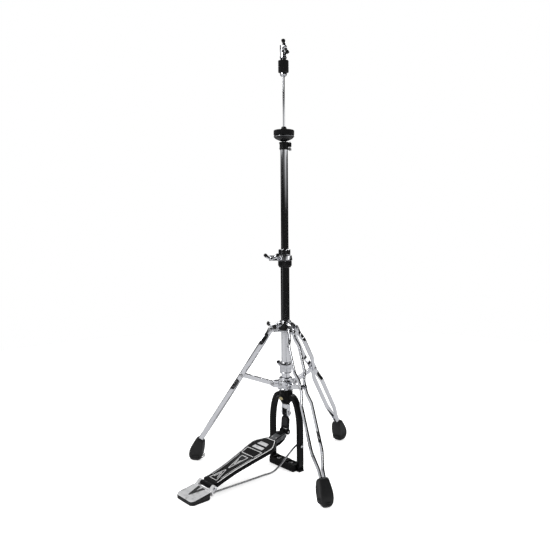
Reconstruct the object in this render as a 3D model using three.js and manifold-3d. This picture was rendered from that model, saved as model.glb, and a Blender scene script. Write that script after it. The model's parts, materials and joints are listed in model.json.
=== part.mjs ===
// Hi-hat stand. A folding tripod carries a two-part column, and a pedal at its foot pulls a rod
// down through the column to close two cymbals between the seat and the clutch.
// Millimetres, +Z up. The origin is on the floor, on the column's axis. The pedal's heel is
// towards -Y. Angles round the column are in degrees from +X.
import * as THREE from 'three';
import { mergeVertices } from 'three/addons/utils/BufferGeometryUtils.js';
import Module from 'manifold-3d';

const wasm = await Module();
wasm.setup();

const DEG = Math.PI / 180;
const GAP = 0.3; // clearance between pieces that touch

// Pins and bolts, each with the hole that it runs in
const PIN_R = 2.6;
const PIN_HOLE_R = 2.9;
const BOLT_R = 2.8;
const BOLT_HOLE_R = 3.1;

// Column
const LOWER_TUBE_R = 11.1;
const UPPER_TUBE_R = 9.525;
const TUBE_WALL = 1.2;
const LOWER_TUBE_Z = [170.3, 538];
const UPPER_TUBE_Z = [380, 822];
const ROD_R = 3;
const LOWER_ROD_R = 4;
const ROD_TOP_Z = 1056;
const ROD_JOINT_Z = 345;
const LOWER_ROD_Z = 156;

// Pull frame at the foot of the column
const BLOCK_Z = [164, 201.7];
const BLOCK_R = 16;
const FLANK_X = 18.5;
const ARM_X = 51.5;
const ARM_THICK = 10;
const ARM_DEPTH = 15;
const BASE_HEIGHT = 18;
const BASE_Y = [-20, 9];
const RADIUS_ROD_R = 2.4;
const RADIUS_ROD_Z = 66;
const ROD_SOCKET = [28, 13]; // X and Z where each radius rod enters the heel plate

// Tripod: radial distance and height of each pivot
const HUB_PIVOT = [37.8, 354.2];
const BRACE_PIVOT = [33.2, 214.6];
const LEG_TILT = 32.8 * DEG;
const LEG_TO_BRACE = 142.6;
const LEG_TO_FOOT = 349;
const LEG_END = 370;
const LEG_ANGLES = [98.4, 218.4, 338.4];
const FOOT_HALF = 15.5;
const STRIP_WIDTH = 13;
const STRIP_THICK = 4.5;
const STRIP_NARROW = 6.6;
const STRIP_WIDE = 13.4;
const UPPER_HUB_Z = [349, 378];
const LOWER_HUB_Z = [202, 232];
const TRIPOD_CLAMP_Z = [244, 272];
const HUB_WING = { angle: 262, distance: 42, height: 368, roll: 80 };
const TRIPOD_WING = { angle: 165, distance: 32, height: 258, roll: 113 };

// Pedal
const HINGE_Y = -247.5;
const HINGE_Z = 22;
const TOE_PIN = [-4.4, 92];
const HEEL_Y = [-311, -257];
const HEEL_HALF = 32;
const HEEL_PLATE_THICK = 2.6;
const HEEL_WALL_HALF = 33;
const HEEL_END_Z = 8.8;
const HEEL_SLOPE = 8.8 * DEG;
const KNUCKLE_R = 6;
const BOARD_THICK = 9;
const BOARD_TOP = 4; // height of the board's face over the line from the hinge to the toe pin

// Drive
const YOKE_PIN_Z = 141;
const YOKE_HALF = 12;
const LINK_HALF = 13.5;
const LINK_THICK = 5;
const SPRING_Z = [174.5, 296];
const SPRING_R = 6.3;

// Height clamp and cymbal seat
const BUSH_Z = [513, 543];
const HEIGHT_CLAMP_Z = [530, 542.7];
const MEMORY_LOCK_Z = [543.5, 558.5];
const HEIGHT_CLAMP_ANGLE = 48;
const HEIGHT_BOLT_X = -33;
const SEAT_TOP_Z = 853;
const SEAT_R = 26;
const TILT_SCREW_ANGLE = 52;
const TILT_SCREW_X = 14.8;

// Clutch
const CLUTCH_Z = [982, 1058];
const CLUTCH_SLEEVE_R = 4.6;
const CLUTCH_WING = { angle: 330, distance: 19.6, height: 1049, roll: 20 };
const LOCK_NUT_Z = [1020.8, 1026];
const UPPER_FELT_Z = [1007.5, 1020.5];
const LOWER_FELT_Z = [992.1, 1005.3];
const BOTTOM_NUT_Z = [983.6, 991.8];
const CYMBAL_FELT_R = 13.2;

const chrome = [0xd8dade, 0.12, 1.0];
const darkPaint = [0x141414, 0.35, 0.2];
const rubber = [0x0d0d0d, 0.75, 0.0];
const nylon = [0x101010, 0.45, 0.0];
const felt = [0x161616, 0.95, 0.0];
const castMetal = [0x9a9ca0, 0.4, 0.9];
const zinc = [0xb8babd, 0.35, 0.9];

// ---------- geometry helpers ----------

// Position-only geometry with shared vertices, no flat triangles and its faces pointing out
function closed(geometry) {
  const copy = geometry.clone();
  copy.deleteAttribute('normal');
  copy.deleteAttribute('uv');
  const merged = mergeVertices(copy, 1e-4);
  const position = merged.attributes.position;
  const corner = (i) => new THREE.Vector3().fromBufferAttribute(position, i);
  const triangles = [];
  let volume = 0;
  for (let i = 0; i < merged.index.count; i += 3) {
    const [a, b, c] = [0, 1, 2].map((k) => merged.index.getX(i + k));
    if (a !== b && b !== c && c !== a) {
      triangles.push([a, b, c]);
      volume += corner(a).dot(corner(b).cross(corner(c)));
    }
  }
  const index = triangles.flatMap(([a, b, c]) => (volume < 0 ? [a, c, b] : [a, b, c]));
  merged.setIndex(index);
  return merged;
}

function solid(geometry) {
  const mesh = closed(geometry);
  return new wasm.Manifold(new wasm.Mesh({
    numProp: 3,
    vertProperties: new Float32Array(mesh.attributes.position.array),
    triVerts: new Uint32Array(mesh.index.array),
  }));
}

function surface(body) {
  const mesh = body.getMesh();
  const geometry = new THREE.BufferGeometry();
  geometry.setAttribute('position', new THREE.BufferAttribute(new Float32Array(mesh.vertProperties), 3));
  geometry.setIndex(new THREE.BufferAttribute(new Uint32Array(mesh.triVerts), 1));
  return geometry;
}

function join(first, ...others) {
  return surface(others.reduce((whole, other) => whole.add(solid(other)), solid(first)));
}

function cut(first, ...tools) {
  return surface(tools.reduce((whole, tool) => whole.subtract(solid(tool)), solid(first)));
}

// A box given by its low and high limits along each axis
function block([x0, x1], [y0, y1], [z0, z1]) {
  const geometry = new THREE.BoxGeometry(x1 - x0, y1 - y0, z1 - z0);
  return geometry.translate((x0 + x1) / 2, (y0 + y1) / 2, (z0 + z1) / 2);
}

// A round bar between two points
function bar(radius, from, to, segments = 10) {
  const start = new THREE.Vector3(...from);
  const span = new THREE.Vector3(...to).sub(start);
  const geometry = new THREE.CylinderGeometry(radius, radius, span.length(), segments);
  geometry.translate(0, span.length() / 2, 0);
  const turn = new THREE.Quaternion().setFromUnitVectors(new THREE.Vector3(0, 1, 0), span.normalize());
  return geometry.applyQuaternion(turn).translate(start.x, start.y, start.z);
}

// A turned piece from its [radius, height] profile
function turned(profile, segments = 20) {
  const points = profile.map(([r, z]) => new THREE.Vector2(r, z));
  return closed(new THREE.LatheGeometry(points, segments).rotateX(Math.PI / 2));
}

function ring(outer, inner, [z0, z1], segments = 20) {
  return turned([[inner, z0], [outer, z0], [outer, z1], [inner, z1], [inner, z0]], segments);
}

// A plate from its outermost outline, between two heights, with its edges chamfered
function plate(points, [low, high], chamfer = 0) {
  const shape = new THREE.Shape(points.map(([x, y]) => new THREE.Vector2(x, y)));
  const geometry = new THREE.ExtrudeGeometry(shape, {
    depth: high - low - 2 * chamfer,
    bevelEnabled: chamfer > 0,
    bevelThickness: chamfer,
    bevelSize: chamfer,
    bevelOffset: -chamfer,
    bevelSegments: 1,
  });
  return geometry.translate(0, 0, low + chamfer);
}

// A round-cornered rectangle's outline
function roundedRectangle([x0, x1], [y0, y1], radius, steps = 3) {
  const corners = [[x1, y0, -90], [x1, y1, 0], [x0, y1, 90], [x0, y0, 180]];
  return corners.flatMap(([x, y, start]) => {
    const cx = x - Math.sign(x - (x0 + x1) / 2) * radius;
    const cy = y - Math.sign(y - (y0 + y1) / 2) * radius;
    return Array.from({ length: steps + 1 }, (_, i) => {
      const angle = (start + (90 * i) / steps) * DEG;
      return [cx + radius * Math.cos(angle), cy + radius * Math.sin(angle)];
    });
  });
}

// Stands a plate up: the second axis of its outline becomes Z and its thickness lies along Y
function upright(geometry) {
  return geometry.rotateX(Math.PI / 2);
}

// A closed outline that follows a centre line with a given half width at each point
function band(centre, half) {
  const left = [];
  const right = [];
  centre.forEach(([x, y], i) => {
    const before = centre[Math.max(i - 1, 0)];
    const after = centre[Math.min(i + 1, centre.length - 1)];
    const length = Math.hypot(after[0] - before[0], after[1] - before[1]);
    const normal = [-(after[1] - before[1]) / length, (after[0] - before[0]) / length];
    const h = typeof half === 'function' ? half(i / (centre.length - 1)) : half;
    left.push([x + normal[0] * h, y + normal[1] * h]);
    right.push([x - normal[0] * h, y - normal[1] * h]);
  });
  return left.concat(right.reverse());
}

function mesh(name, geometry, [color, roughness, metalness]) {
  const material = new THREE.MeshStandardMaterial({ color, roughness, metalness, flatShading: true });
  const part = new THREE.Mesh(geometry, material);
  part.name = name;
  return part;
}

// A group turned about the column's axis, with a height and a distance along its own X
function spoke(angle, distance, height) {
  const outer = new THREE.Group();
  const inner = new THREE.Group();
  outer.rotation.z = angle * DEG;
  inner.position.set(distance, 0, height);
  outer.add(inner);
  return { outer, inner };
}

const stand = new THREE.Group();

function add(name, geometry, finish) {
  stand.add(mesh(name, geometry, finish));
}

// ---------- wing bolts and nuts ----------

// Two curved wings on a boss, with a shank behind: the axis is +Z and the wings lie along X
function wingBolt({ half, rise, bossR, bossLength, shankR, shankLength }) {
  const steps = 7;
  const centre = Array.from({ length: steps }, (_, i) => {
    const u = (2 * i) / (steps - 1) - 1;
    return [half * u, rise * u * u];
  });
  const wings = plate(band(centre, (u) => 3.4 + 1.6 * Math.abs(2 * u - 1)), [-2.3, 2.3], 0.8);
  const boss = bar(bossR, [0, 0, -bossLength], [0, 0, 3.2]);
  const shank = bar(shankR, [0, 0, -bossLength - shankLength], [0, 0, -bossLength + 1]);
  return join(wings, boss, shank);
}

// Puts a wing bolt on a spoke of the column, turned about its own axis by roll degrees
function addWingBolt(name, sizes, { angle, distance, height, roll }) {
  const { outer, inner } = spoke(angle, distance, height);
  const part = mesh(name, wingBolt(sizes).rotateZ(roll * DEG), chrome);
  part.rotation.y = Math.PI / 2;
  inner.add(part);
  stand.add(outer);
}

// ---------- clutch ----------

function addClutch() {
  const bore = ROD_R + GAP;
  const sleeve = CLUTCH_SLEEVE_R;
  const sleeveSpace = sleeve + GAP;
  const [low, high] = CLUTCH_Z;
  const [nutLow, nutHigh] = LOCK_NUT_Z;
  const [endLow, endHigh] = BOTTOM_NUT_Z;
  const flange = nutHigh + GAP;
  const tube = turned([
    [bore, low], [sleeve, low], [sleeve, flange], [8.6, flange], [8.6, flange + 3.7],
    [7.4, flange + 5.7], [7.4, high - 18], [8.4, high - 16], [8.4, high - 2], [7.2, high],
    [bore, high], [bore, low],
  ]);
  const { angle, height } = CLUTCH_WING;
  const across = (radius, from, to) => bar(radius, [from, 0, height], [to, 0, height]).rotateZ(angle * DEG);
  const rodSpace = bar(bore, [0, 0, low - 1], [0, 0, high + 1], 20);
  add('clutch_body', cut(join(tube, across(5.5, 6, 14)), rodSpace, across(BOLT_R, 0, 15)), chrome);

  const nutBore = bar(sleeveSpace, [0, 0, nutLow - 1], [0, 0, nutHigh + 1], 20);
  add('clutch_lock_nut', cut(bar(8.6, [0, 0, nutLow], [0, 0, nutHigh], 6), nutBore), zinc);
  add('clutch_upper_felt', ring(CYMBAL_FELT_R, sleeveSpace, UPPER_FELT_Z), felt);
  add('clutch_lower_felt', ring(CYMBAL_FELT_R, sleeveSpace, LOWER_FELT_Z), felt);
  add('clutch_bottom_nut', turned([
    [sleeveSpace, endLow], [6.6, endLow], [8.4, endLow + 1.8], [8.4, endHigh - 1.8],
    [7.4, endHigh], [sleeveSpace, endHigh], [sleeveSpace, endLow],
  ]), chrome);
  const wing = { half: 19, rise: 1.5, bossR: 4.6, bossLength: 5, shankR: 2.4, shankLength: 10.5 };
  addWingBolt('clutch_wing_bolt', wing, CLUTCH_WING);
}

// ---------- cymbal seat ----------

function addSeat() {
  const top = SEAT_TOP_Z;
  const shelf = top - 14; // joint between the cup and the felt
  add('seat_sleeve', turned([
    [4.9, shelf], [6.8, shelf], [6.8, top + GAP], [8.2, top + GAP],
    [7.4, top + 2.5], [5.6, top + 8], [4.4, top + 8], [4.4, top], [4.9, shelf],
  ]), nylon);
  const inner = 6.8 + GAP;
  const flangeSpace = 8.6; // the felt's top is dished here, under the sleeve's flange
  add('seat_felt', turned([
    [inner, shelf + GAP], [24, shelf + GAP], [SEAT_R, shelf + 2.5], [SEAT_R, top - 3.5], [24, top - 0.6],
    [16, top], [flangeSpace, top], [flangeSpace, top - 0.6], [inner, top - 0.6], [inner, shelf + GAP],
  ]), felt);
  add('seat_cup', turned([
    [5, shelf - 13.6], [6.4, shelf - 13.6], [13, shelf - 11], [22, shelf - 6.5], [25.2, shelf - 3],
    [25.2, shelf - GAP], [5, shelf - GAP], [5, shelf - 13.6],
  ]), nylon);

  // Tilter base on the tube's end, with an ear for the tilt screw
  const tube = UPPER_TUBE_R + GAP;
  const end = UPPER_TUBE_Z[1];
  const base = turned([
    [tube, end - 17.5], [11, end - 17.5], [11, end - 4], [12.2, end - 1], [12.2, end + 1.2],
    [4.6, end + 1.2], [4.6, end + GAP], [tube, end + GAP], [tube, end - 17.5],
  ]);
  const x = TILT_SCREW_X;
  const ear = block([9.9, x + 3.7], [-3.6, 3.6], [end - 10, end]);
  const hole = bar(1.9, [x, 0, end - 11], [x, 0, end + 1]);
  const bore = bar(tube, [0, 0, end - 18], [0, 0, end + GAP], 20);
  add('tilter_base', cut(join(base, ear), hole, bore).rotateZ(TILT_SCREW_ANGLE * DEG), nylon);
  const knob = bar(3.6, [x, 0, end - 19.5], [x, 0, end - 13]);
  const screw = join(bar(1.6, [x, 0, end - 16], [x, 0, end + 3]), knob);
  add('tilt_screw', screw.rotateZ(TILT_SCREW_ANGLE * DEG), zinc);
}

// ---------- column ----------

function addColumn() {
  add('upper_pull_rod', bar(ROD_R, [0, 0, ROD_JOINT_Z + GAP], [0, 0, ROD_TOP_Z]), chrome);
  add('lower_pull_rod', bar(LOWER_ROD_R, [0, 0, LOWER_ROD_Z], [0, 0, ROD_JOINT_Z]), zinc);
  add('upper_tube', ring(UPPER_TUBE_R, UPPER_TUBE_R - TUBE_WALL, UPPER_TUBE_Z), chrome);
  add('lower_tube', ring(LOWER_TUBE_R, LOWER_TUBE_R - TUBE_WALL, LOWER_TUBE_Z), chrome);
}

function addHeightClamp() {
  const tube = LOWER_TUBE_R + GAP;
  const neck = UPPER_TUBE_R + GAP;
  const bushNeck = 15.6;
  const [low, high] = BUSH_Z;
  const [clampLow, clampHigh] = HEIGHT_CLAMP_Z;
  const tubeEnd = LOWER_TUBE_Z[1] + GAP;
  add('height_bush', turned([
    [tube, low], [14.5, low], [17.4, low + 2], [17.4, clampLow - GAP], [bushNeck, clampLow - GAP],
    [bushNeck, high], [neck, high], [neck, tubeEnd], [tube, tubeEnd], [tube, low],
  ]), nylon);

  // Split band with two ears on its -X side, before it is turned into place
  const earHalf = 6.2;
  const hoop = ring(18.6, bushNeck + GAP, HEIGHT_CLAMP_Z);
  const ears = block([-39.5, -17], [-earHalf, earHalf], HEIGHT_CLAMP_Z);
  const split = block([-40, -12], [-2.2, 2.2], [clampLow - 1, clampHigh + 1]);
  const middle = (clampLow + clampHigh) / 2;
  const boltHole = bar(3.2, [HEIGHT_BOLT_X, -8, middle], [HEIGHT_BOLT_X, 8, middle]);
  const core = bar(bushNeck + GAP, [0, 0, clampLow - 1], [0, 0, clampHigh + 1], 20);
  const turn = HEIGHT_CLAMP_ANGLE * DEG;
  add('height_clamp', cut(join(hoop, ears), core, split, boltHole).rotateZ(turn), chrome);

  // Collar with a rounded lobe on each side, loose on the upper tube
  const [lockLow, lockHigh] = MEMORY_LOCK_Z;
  const lobes = [190, 350].map((angle) => {
    return bar(6.2, [12.5, 0, lockLow], [12.5, 0, lockHigh]).rotateZ(angle * DEG);
  });
  const lockBore = bar(neck, [0, 0, lockLow - 1], [0, 0, lockHigh + 1], 20);
  add('memory_lock', cut(join(ring(14, neck, MEMORY_LOCK_Z), ...lobes), lockBore), chrome);

  const bossLength = 13.5;
  const nut = wingBolt({ half: 18.5, rise: 9, bossR: 5, bossLength, shankR: 2.9, shankLength: 14 });
  const part = mesh('height_wing_nut', nut.rotateX(Math.PI / 2), chrome);
  part.position.set(HEIGHT_BOLT_X, -earHalf - GAP - bossLength, middle);
  const group = new THREE.Group();
  group.rotation.z = turn;
  group.add(part);
  stand.add(group);
}

// ---------- tripod ----------

// Half the spacing of a leg's two strips at each distance from the hub pivot
const SPREAD = [
  [-9, STRIP_NARROW], [13, STRIP_NARROW], [42, STRIP_WIDE], [104, STRIP_WIDE],
  [130, STRIP_NARROW], [156, STRIP_NARROW], [186, STRIP_WIDE], [290, STRIP_WIDE],
  [LEG_TO_FOOT - 4, STRIP_NARROW], [LEG_END, STRIP_NARROW],
];

function stripCentre(side) {
  const points = [];
  for (let i = 0; i < SPREAD.length - 1; i += 1) {
    const [[s0, t0], [s1, t1]] = [SPREAD[i], SPREAD[i + 1]];
    const steps = t0 === t1 ? 1 : 3;
    for (let k = 0; k < steps; k += 1) {
      const u = k / steps;
      points.push([s0 + (s1 - s0) * u, side * (t0 + (t1 - t0) * u * u * (3 - 2 * u))]);
    }
  }
  points.push([LEG_END, side * STRIP_NARROW]);
  return points;
}

// One strip in the leg's frame: X along the leg, Y across it, Z out of the leg's plane
function legStrip(side) {
  const outline = band(stripCentre(side), STRIP_THICK / 2);
  const flat = plate(outline, [-STRIP_WIDTH / 2, STRIP_WIDTH / 2]);
  const face = side * (STRIP_NARROW + STRIP_THICK / 2);
  const head = bar(4.4, [LEG_TO_BRACE, face - side, 0], [LEG_TO_BRACE, face + side * 1.8, 0], 8);
  const hole = bar(BOLT_HOLE_R, [0, side * 2, 0], [0, side * 12, 0]);
  return cut(join(flat, head), hole);
}

function legBolt() {
  const half = STRIP_NARROW + STRIP_THICK / 2;
  const pin = bar(BOLT_R, [0, -half - 1, 0], [0, half + 1, 0]);
  const head = bar(4.8, [0, half + GAP, 0], [0, half + 3.2, 0], 6);
  const nut = bar(4.8, [0, -half - 3.2, 0], [0, -half - GAP, 0], 6);
  return join(pin, head, nut);
}

// Rubber shoe drawn in the leg's radial plane, with two slots for the strip ends
function rubberFoot(legMatrix) {
  const outline = [
    [219.5, 51], [222, 55.5], [234, 62.5], [239.5, 61], [253, 40], [261, 22], [261, 10],
    [255, 2], [249, 0], [236, 0], [230, 2.5], [225, 14], [221.5, 32],
  ];
  const shoe = upright(plate(outline, [-FOOT_HALF, FOOT_HALF], 4));
  const wide = STRIP_WIDTH / 2 + GAP;
  const slots = [-1, 1].map((side) => {
    const edges = [STRIP_NARROW - STRIP_THICK / 2 - GAP, STRIP_NARROW + STRIP_THICK / 2 + GAP];
    const [low, high] = edges.map((t) => side * t).sort((a, b) => a - b);
    return block([LEG_TO_FOOT - 12, LEG_END + GAP], [low, high], [-wide, wide]).applyMatrix4(legMatrix);
  });
  return cut(shoe, ...slots);
}

// Folded-steel brace: X along it from the lower hub's pivot, open underneath
function brace(length) {
  const neck = 3.5;
  const eye = (x) => bar(6, [x, -neck, 0], [x, neck, 0]);
  const hole = (x) => bar(PIN_HOLE_R, [x, -8, 0], [x, 8, 0]);
  const web = block([0, length], [-neck, neck], [-4.5, 4.5]);
  const channel = block([13, length - 13], [-4, 4], [-5.5, 5.5]);
  const groove = block([16, length - 16], [-2.6, 2.6], [-6, 3.6]);
  return cut(join(web, channel, eye(0), eye(length)), groove, hole(0), hole(length));
}

function upperHub() {
  const [low, high] = UPPER_HUB_Z;
  const bore = LOWER_TUBE_R + GAP;
  const [r, z] = HUB_PIVOT;
  const body = turned([
    [bore, low], [14.5, low], [16.5, low + 2], [16.5, high - 5], [14.2, high - 3],
    [14.2, high], [bore, high], [bore, low],
  ]);
  const ears = LEG_ANGLES.map((angle) => {
    const outline = [[12, low + 1], [30, low - 0.5], [r + 2, z - 6.6], [r + 6.6, z], [r + 2, z + 6.6],
      [28, high - 9], [12, high - 8]];
    return upright(plate(outline, [-4, 4])).rotateZ(angle * DEG);
  });
  const holes = LEG_ANGLES.map((angle) => bar(BOLT_HOLE_R, [r, -6, z], [r, 6, z]).rotateZ(angle * DEG));
  const { angle: turn, height } = HUB_WING;
  const boss = bar(6.5, [13, 0, height], [25, 0, height]).rotateZ(turn * DEG);
  const bolt = bar(BOLT_HOLE_R, [8, 0, height], [26, 0, height]).rotateZ(turn * DEG);
  const tube = bar(bore, [0, 0, low - 1], [0, 0, high + 1], 20);
  return cut(join(body, ...ears, boss), tube, bolt, ...holes);
}

function lowerHub() {
  const [low, high] = LOWER_HUB_Z;
  const bore = LOWER_TUBE_R + GAP;
  const [r, z] = BRACE_PIVOT;
  const body = turned([
    [bore, low], [19, low], [21, low + 2], [21, high - 8], [17, high - 5], [17, high],
    [bore, high], [bore, low],
  ]);
  const cheeks = LEG_ANGLES.flatMap((angle) => [-1, 1].map((side) => {
    const outline = [[16, low + 3], [r, low + 4], [r + 6.5, z - 3], [r + 6.5, z + 3],
      [r, z + 8], [16, z + 9]];
    const faces = side > 0 ? [4.3, 7.6] : [-7.6, -4.3];
    return upright(plate(outline, faces)).rotateZ(angle * DEG);
  }));
  const holes = LEG_ANGLES.map((angle) => bar(PIN_HOLE_R, [r, -9, z], [r, 9, z]).rotateZ(angle * DEG));
  const tube = bar(bore, [0, 0, low - 1], [0, 0, high + 1], 20);
  return cut(join(body, ...cheeks), tube, ...holes);
}

function addTripodClamp() {
  const [low, high] = TRIPOD_CLAMP_Z;
  const bore = LOWER_TUBE_R + GAP;
  const { angle, height } = TRIPOD_WING;
  const collar = turned([
    [bore, low], [15.5, low], [15.5, high - 8], [13.6, high], [bore, high], [bore, low],
  ]);
  const boss = bar(6.5, [12, 0, height], [25, 0, height]);
  const bolt = bar(3, [8, 0, height], [26, 0, height]);
  const tube = bar(bore, [0, 0, low - 1], [0, 0, high + 1], 20);
  add('tripod_clamp', cut(join(collar, boss), tube, bolt).rotateZ(angle * DEG), castMetal);
}

function addLeg(number, angle) {
  const leg = new THREE.Matrix4().makeRotationY(Math.PI / 2 - LEG_TILT);
  leg.setPosition(HUB_PIVOT[0], 0, HUB_PIVOT[1]);
  const along = new THREE.Group();
  along.applyMatrix4(leg);
  along.add(mesh(`leg_${number}_strip_left`, legStrip(1), chrome));
  along.add(mesh(`leg_${number}_strip_right`, legStrip(-1), chrome));
  along.add(mesh(`leg_${number}_pivot_bolt`, legBolt(), zinc));

  const [r, z] = BRACE_PIVOT;
  const run = HUB_PIVOT[0] + LEG_TO_BRACE * Math.sin(LEG_TILT) - r;
  const rise = HUB_PIVOT[1] - LEG_TO_BRACE * Math.cos(LEG_TILT) - z;
  const arm = mesh(`brace_${number}`, brace(Math.hypot(run, rise)), chrome);
  arm.position.set(r, 0, z);
  arm.rotation.y = -Math.atan2(rise, run);
  const heads = [-1, 1].map((side) => bar(4.4, [r, side * 7.9, z], [r, side * 10.4, z]));
  const pin = join(bar(PIN_R, [r, -8.4, z], [r, 8.4, z]), ...heads);

  const radial = new THREE.Group();
  radial.rotation.z = angle * DEG;
  radial.add(along, arm, mesh(`brace_${number}_pivot_bolt`, pin, zinc));
  radial.add(mesh(`leg_${number}_foot`, rubberFoot(leg), rubber));
  stand.add(radial);
}

function addTripod() {
  add('upper_hub', upperHub(), castMetal);
  add('lower_hub', lowerHub(), castMetal);
  addTripodClamp();
  const hubWing = { half: 20, rise: 3, bossR: 4.6, bossLength: 15, shankR: 2.8, shankLength: 12 };
  addWingBolt('hub_wing_bolt', hubWing, HUB_WING);
  const clampWing = { half: 12.5, rise: 2, bossR: 4.2, bossLength: 5, shankR: 2.6, shankLength: 12 };
  addWingBolt('tripod_wing_bolt', clampWing, TRIPOD_WING);
  LEG_ANGLES.forEach((angle, i) => addLeg(i + 1, angle));
}

// ---------- spring and drive ----------

class Helix extends THREE.Curve {
  constructor(radius, low, high, turns) {
    super();
    Object.assign(this, { radius, low, high, turns });
  }

  getPoint(t, target = new THREE.Vector3()) {
    const angle = 2 * Math.PI * this.turns * t;
    const z = this.low + (this.high - this.low) * t;
    return target.set(this.radius * Math.cos(angle), this.radius * Math.sin(angle), z);
  }
}

function circle(radius, sides) {
  return new THREE.Shape(Array.from({ length: sides }, (_, i) => {
    const angle = (2 * Math.PI * i) / sides;
    return new THREE.Vector2(radius * Math.cos(angle), radius * Math.sin(angle));
  }));
}

function addDrive() {
  const tube = LOWER_TUBE_R - TUBE_WALL - GAP;
  const wire = 0.9;
  const [low, high] = SPRING_Z;
  const coil = new Helix(SPRING_R, low + wire + GAP, high - wire - GAP, 9);
  const spring = new THREE.ExtrudeGeometry(circle(wire, 4), { steps: 72, extrudePath: coil });
  add('spring_seat', ring(tube, LOWER_ROD_R + 1, [LOWER_TUBE_Z[0], low]), nylon);
  add('return_spring', closed(spring), zinc);
  add('spring_cap', ring(7.5, LOWER_ROD_R + GAP, [high, high + 5]), zinc);

  // Yoke: a fork on the end of the pull rod
  const pinZ = YOKE_PIN_Z;
  const head = block([-YOKE_HALF, YOKE_HALF], [-5.5, 5.5], [pinZ + 11.5, pinZ + 22.6]);
  const cheeks = [-1, 1].map((side) => {
    const faces = [side * 8.8, side * YOKE_HALF].sort((a, b) => a - b);
    return block(faces, [-5.5, 5.5], [pinZ - 10, pinZ + 13]);
  });
  const socket = bar(LOWER_ROD_R + GAP, [0, 0, LOWER_ROD_Z - GAP], [0, 0, pinZ + 24]);
  const pinHole = bar(PIN_HOLE_R, [-15, 0, pinZ], [15, 0, pinZ]);
  add('pull_yoke', cut(join(head, ...cheeks), socket, pinHole), chrome);
  const heads = [-1, 1].map((side) => {
    return bar(4.8, [side * (YOKE_HALF + GAP), 0, pinZ], [side * (YOKE_HALF + 3.6), 0, pinZ], 6);
  });
  add('yoke_bolt', join(bar(PIN_R, [-13, 0, pinZ], [13, 0, pinZ]), ...heads), zinc);

  // Drive link: hangs from the yoke bolt and straddles the toe barrel
  const reach = Math.hypot(TOE_PIN[0], pinZ - TOE_PIN[1]);
  const neck = YOKE_HALF - 3.6;
  const fork = 9.2;
  const outline = [
    [-neck, 8], [neck, 8], [neck, -10.5], [LINK_HALF, -15], [LINK_HALF, -reach], [fork, -reach],
    [fork, -reach + 11], [-fork, -reach + 11], [-fork, -reach], [-LINK_HALF, -reach],
    [-LINK_HALF, -15], [-neck, -10.5],
  ];
  const strap = upright(plate(outline, [-LINK_THICK / 2, LINK_THICK / 2]));
  const knuckles = [-1, 1].map((side) => bar(7.2, [side * fork, 0, -reach], [side * LINK_HALF, 0, -reach]));
  const eyeTop = bar(PIN_HOLE_R, [-20, 0, 0], [20, 0, 0]);
  const eyeLow = bar(4.6, [-20, 0, -reach], [20, 0, -reach]);
  const topKnuckle = bar(5, [-neck, 0, 0], [neck, 0, 0]);
  const link = mesh('drive_link', cut(join(strap, topKnuckle, ...knuckles), eyeTop, eyeLow), darkPaint);
  link.position.z = pinZ;
  link.rotation.x = Math.atan2(TOE_PIN[0], pinZ - TOE_PIN[1]);
  stand.add(link);
}

// ---------- pull frame ----------

function addFrame() {
  const [low, high] = BLOCK_Z;
  const bore = LOWER_TUBE_R + GAP;
  const floorZ = LOWER_TUBE_Z[0] - GAP;
  const core = turned([
    [0, low], [10.5, low], [BLOCK_R, low + 11], [BLOCK_R, high - 2], [14, high], [0, high],
  ]);
  const flanks = plate(roundedRectangle([-FLANK_X, FLANK_X], [-9, 9], 4), [low + 7, high - 5.7], 1);
  const tubeSeat = bar(bore, [0, 0, floorZ], [0, 0, high + 1], 20);
  const rodHole = bar(LOWER_ROD_R + 1.2, [0, 0, low - 1], [0, 0, floorZ + 1]);
  add('frame_block', cut(join(core, flanks), tubeSeat, rodHole), darkPaint);

  // Each arm curves from the block's flank down to the floor
  const spine = new THREE.SplineCurve([
    [FLANK_X + GAP, 186.5], [27, 184.5], [36, 176], [43.5, 159], [48.5, 138], [51, 116], [ARM_X, 92],
  ].map(([x, z]) => new THREE.Vector2(x, z)));
  const centre = spine.getPoints(14).map((p) => [p.x, p.y]).concat([[ARM_X, 0]]);
  const outline = band(centre, (u) => ARM_THICK / 2 + 2 * Math.max(0, 0.3 - u));
  const rodHoleArm = bar(RADIUS_ROD_R + 0.8, [40, 0, RADIUS_ROD_Z], [62, 0, RADIUS_ROD_Z]);
  const trim = block([0, FLANK_X + GAP], [-12, 12], [150, 210]);
  const floor = block([30, 70], [-12, 12], [-10, 0]);
  const side = plate(outline, [-ARM_DEPTH / 2, ARM_DEPTH / 2], 1.6);
  const arm = cut(upright(side), rodHoleArm, trim, floor);
  add('frame_arm_right', arm, darkPaint);
  add('frame_arm_left', arm.clone().rotateZ(Math.PI), darkPaint);

  const inner = ARM_X - ARM_THICK / 2 - GAP;
  const bed = plate(roundedRectangle([-inner, inner], BASE_Y, 2, 2), [0, BASE_HEIGHT], 1.4);
  const waist = [-1, 1].map((side) => {
    return block([side * 12, side * 34].sort((a, b) => a - b), [-14, 4], [11, BASE_HEIGHT + 2]);
  });
  add('base_bar', cut(bed, ...waist), darkPaint);
}

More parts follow.
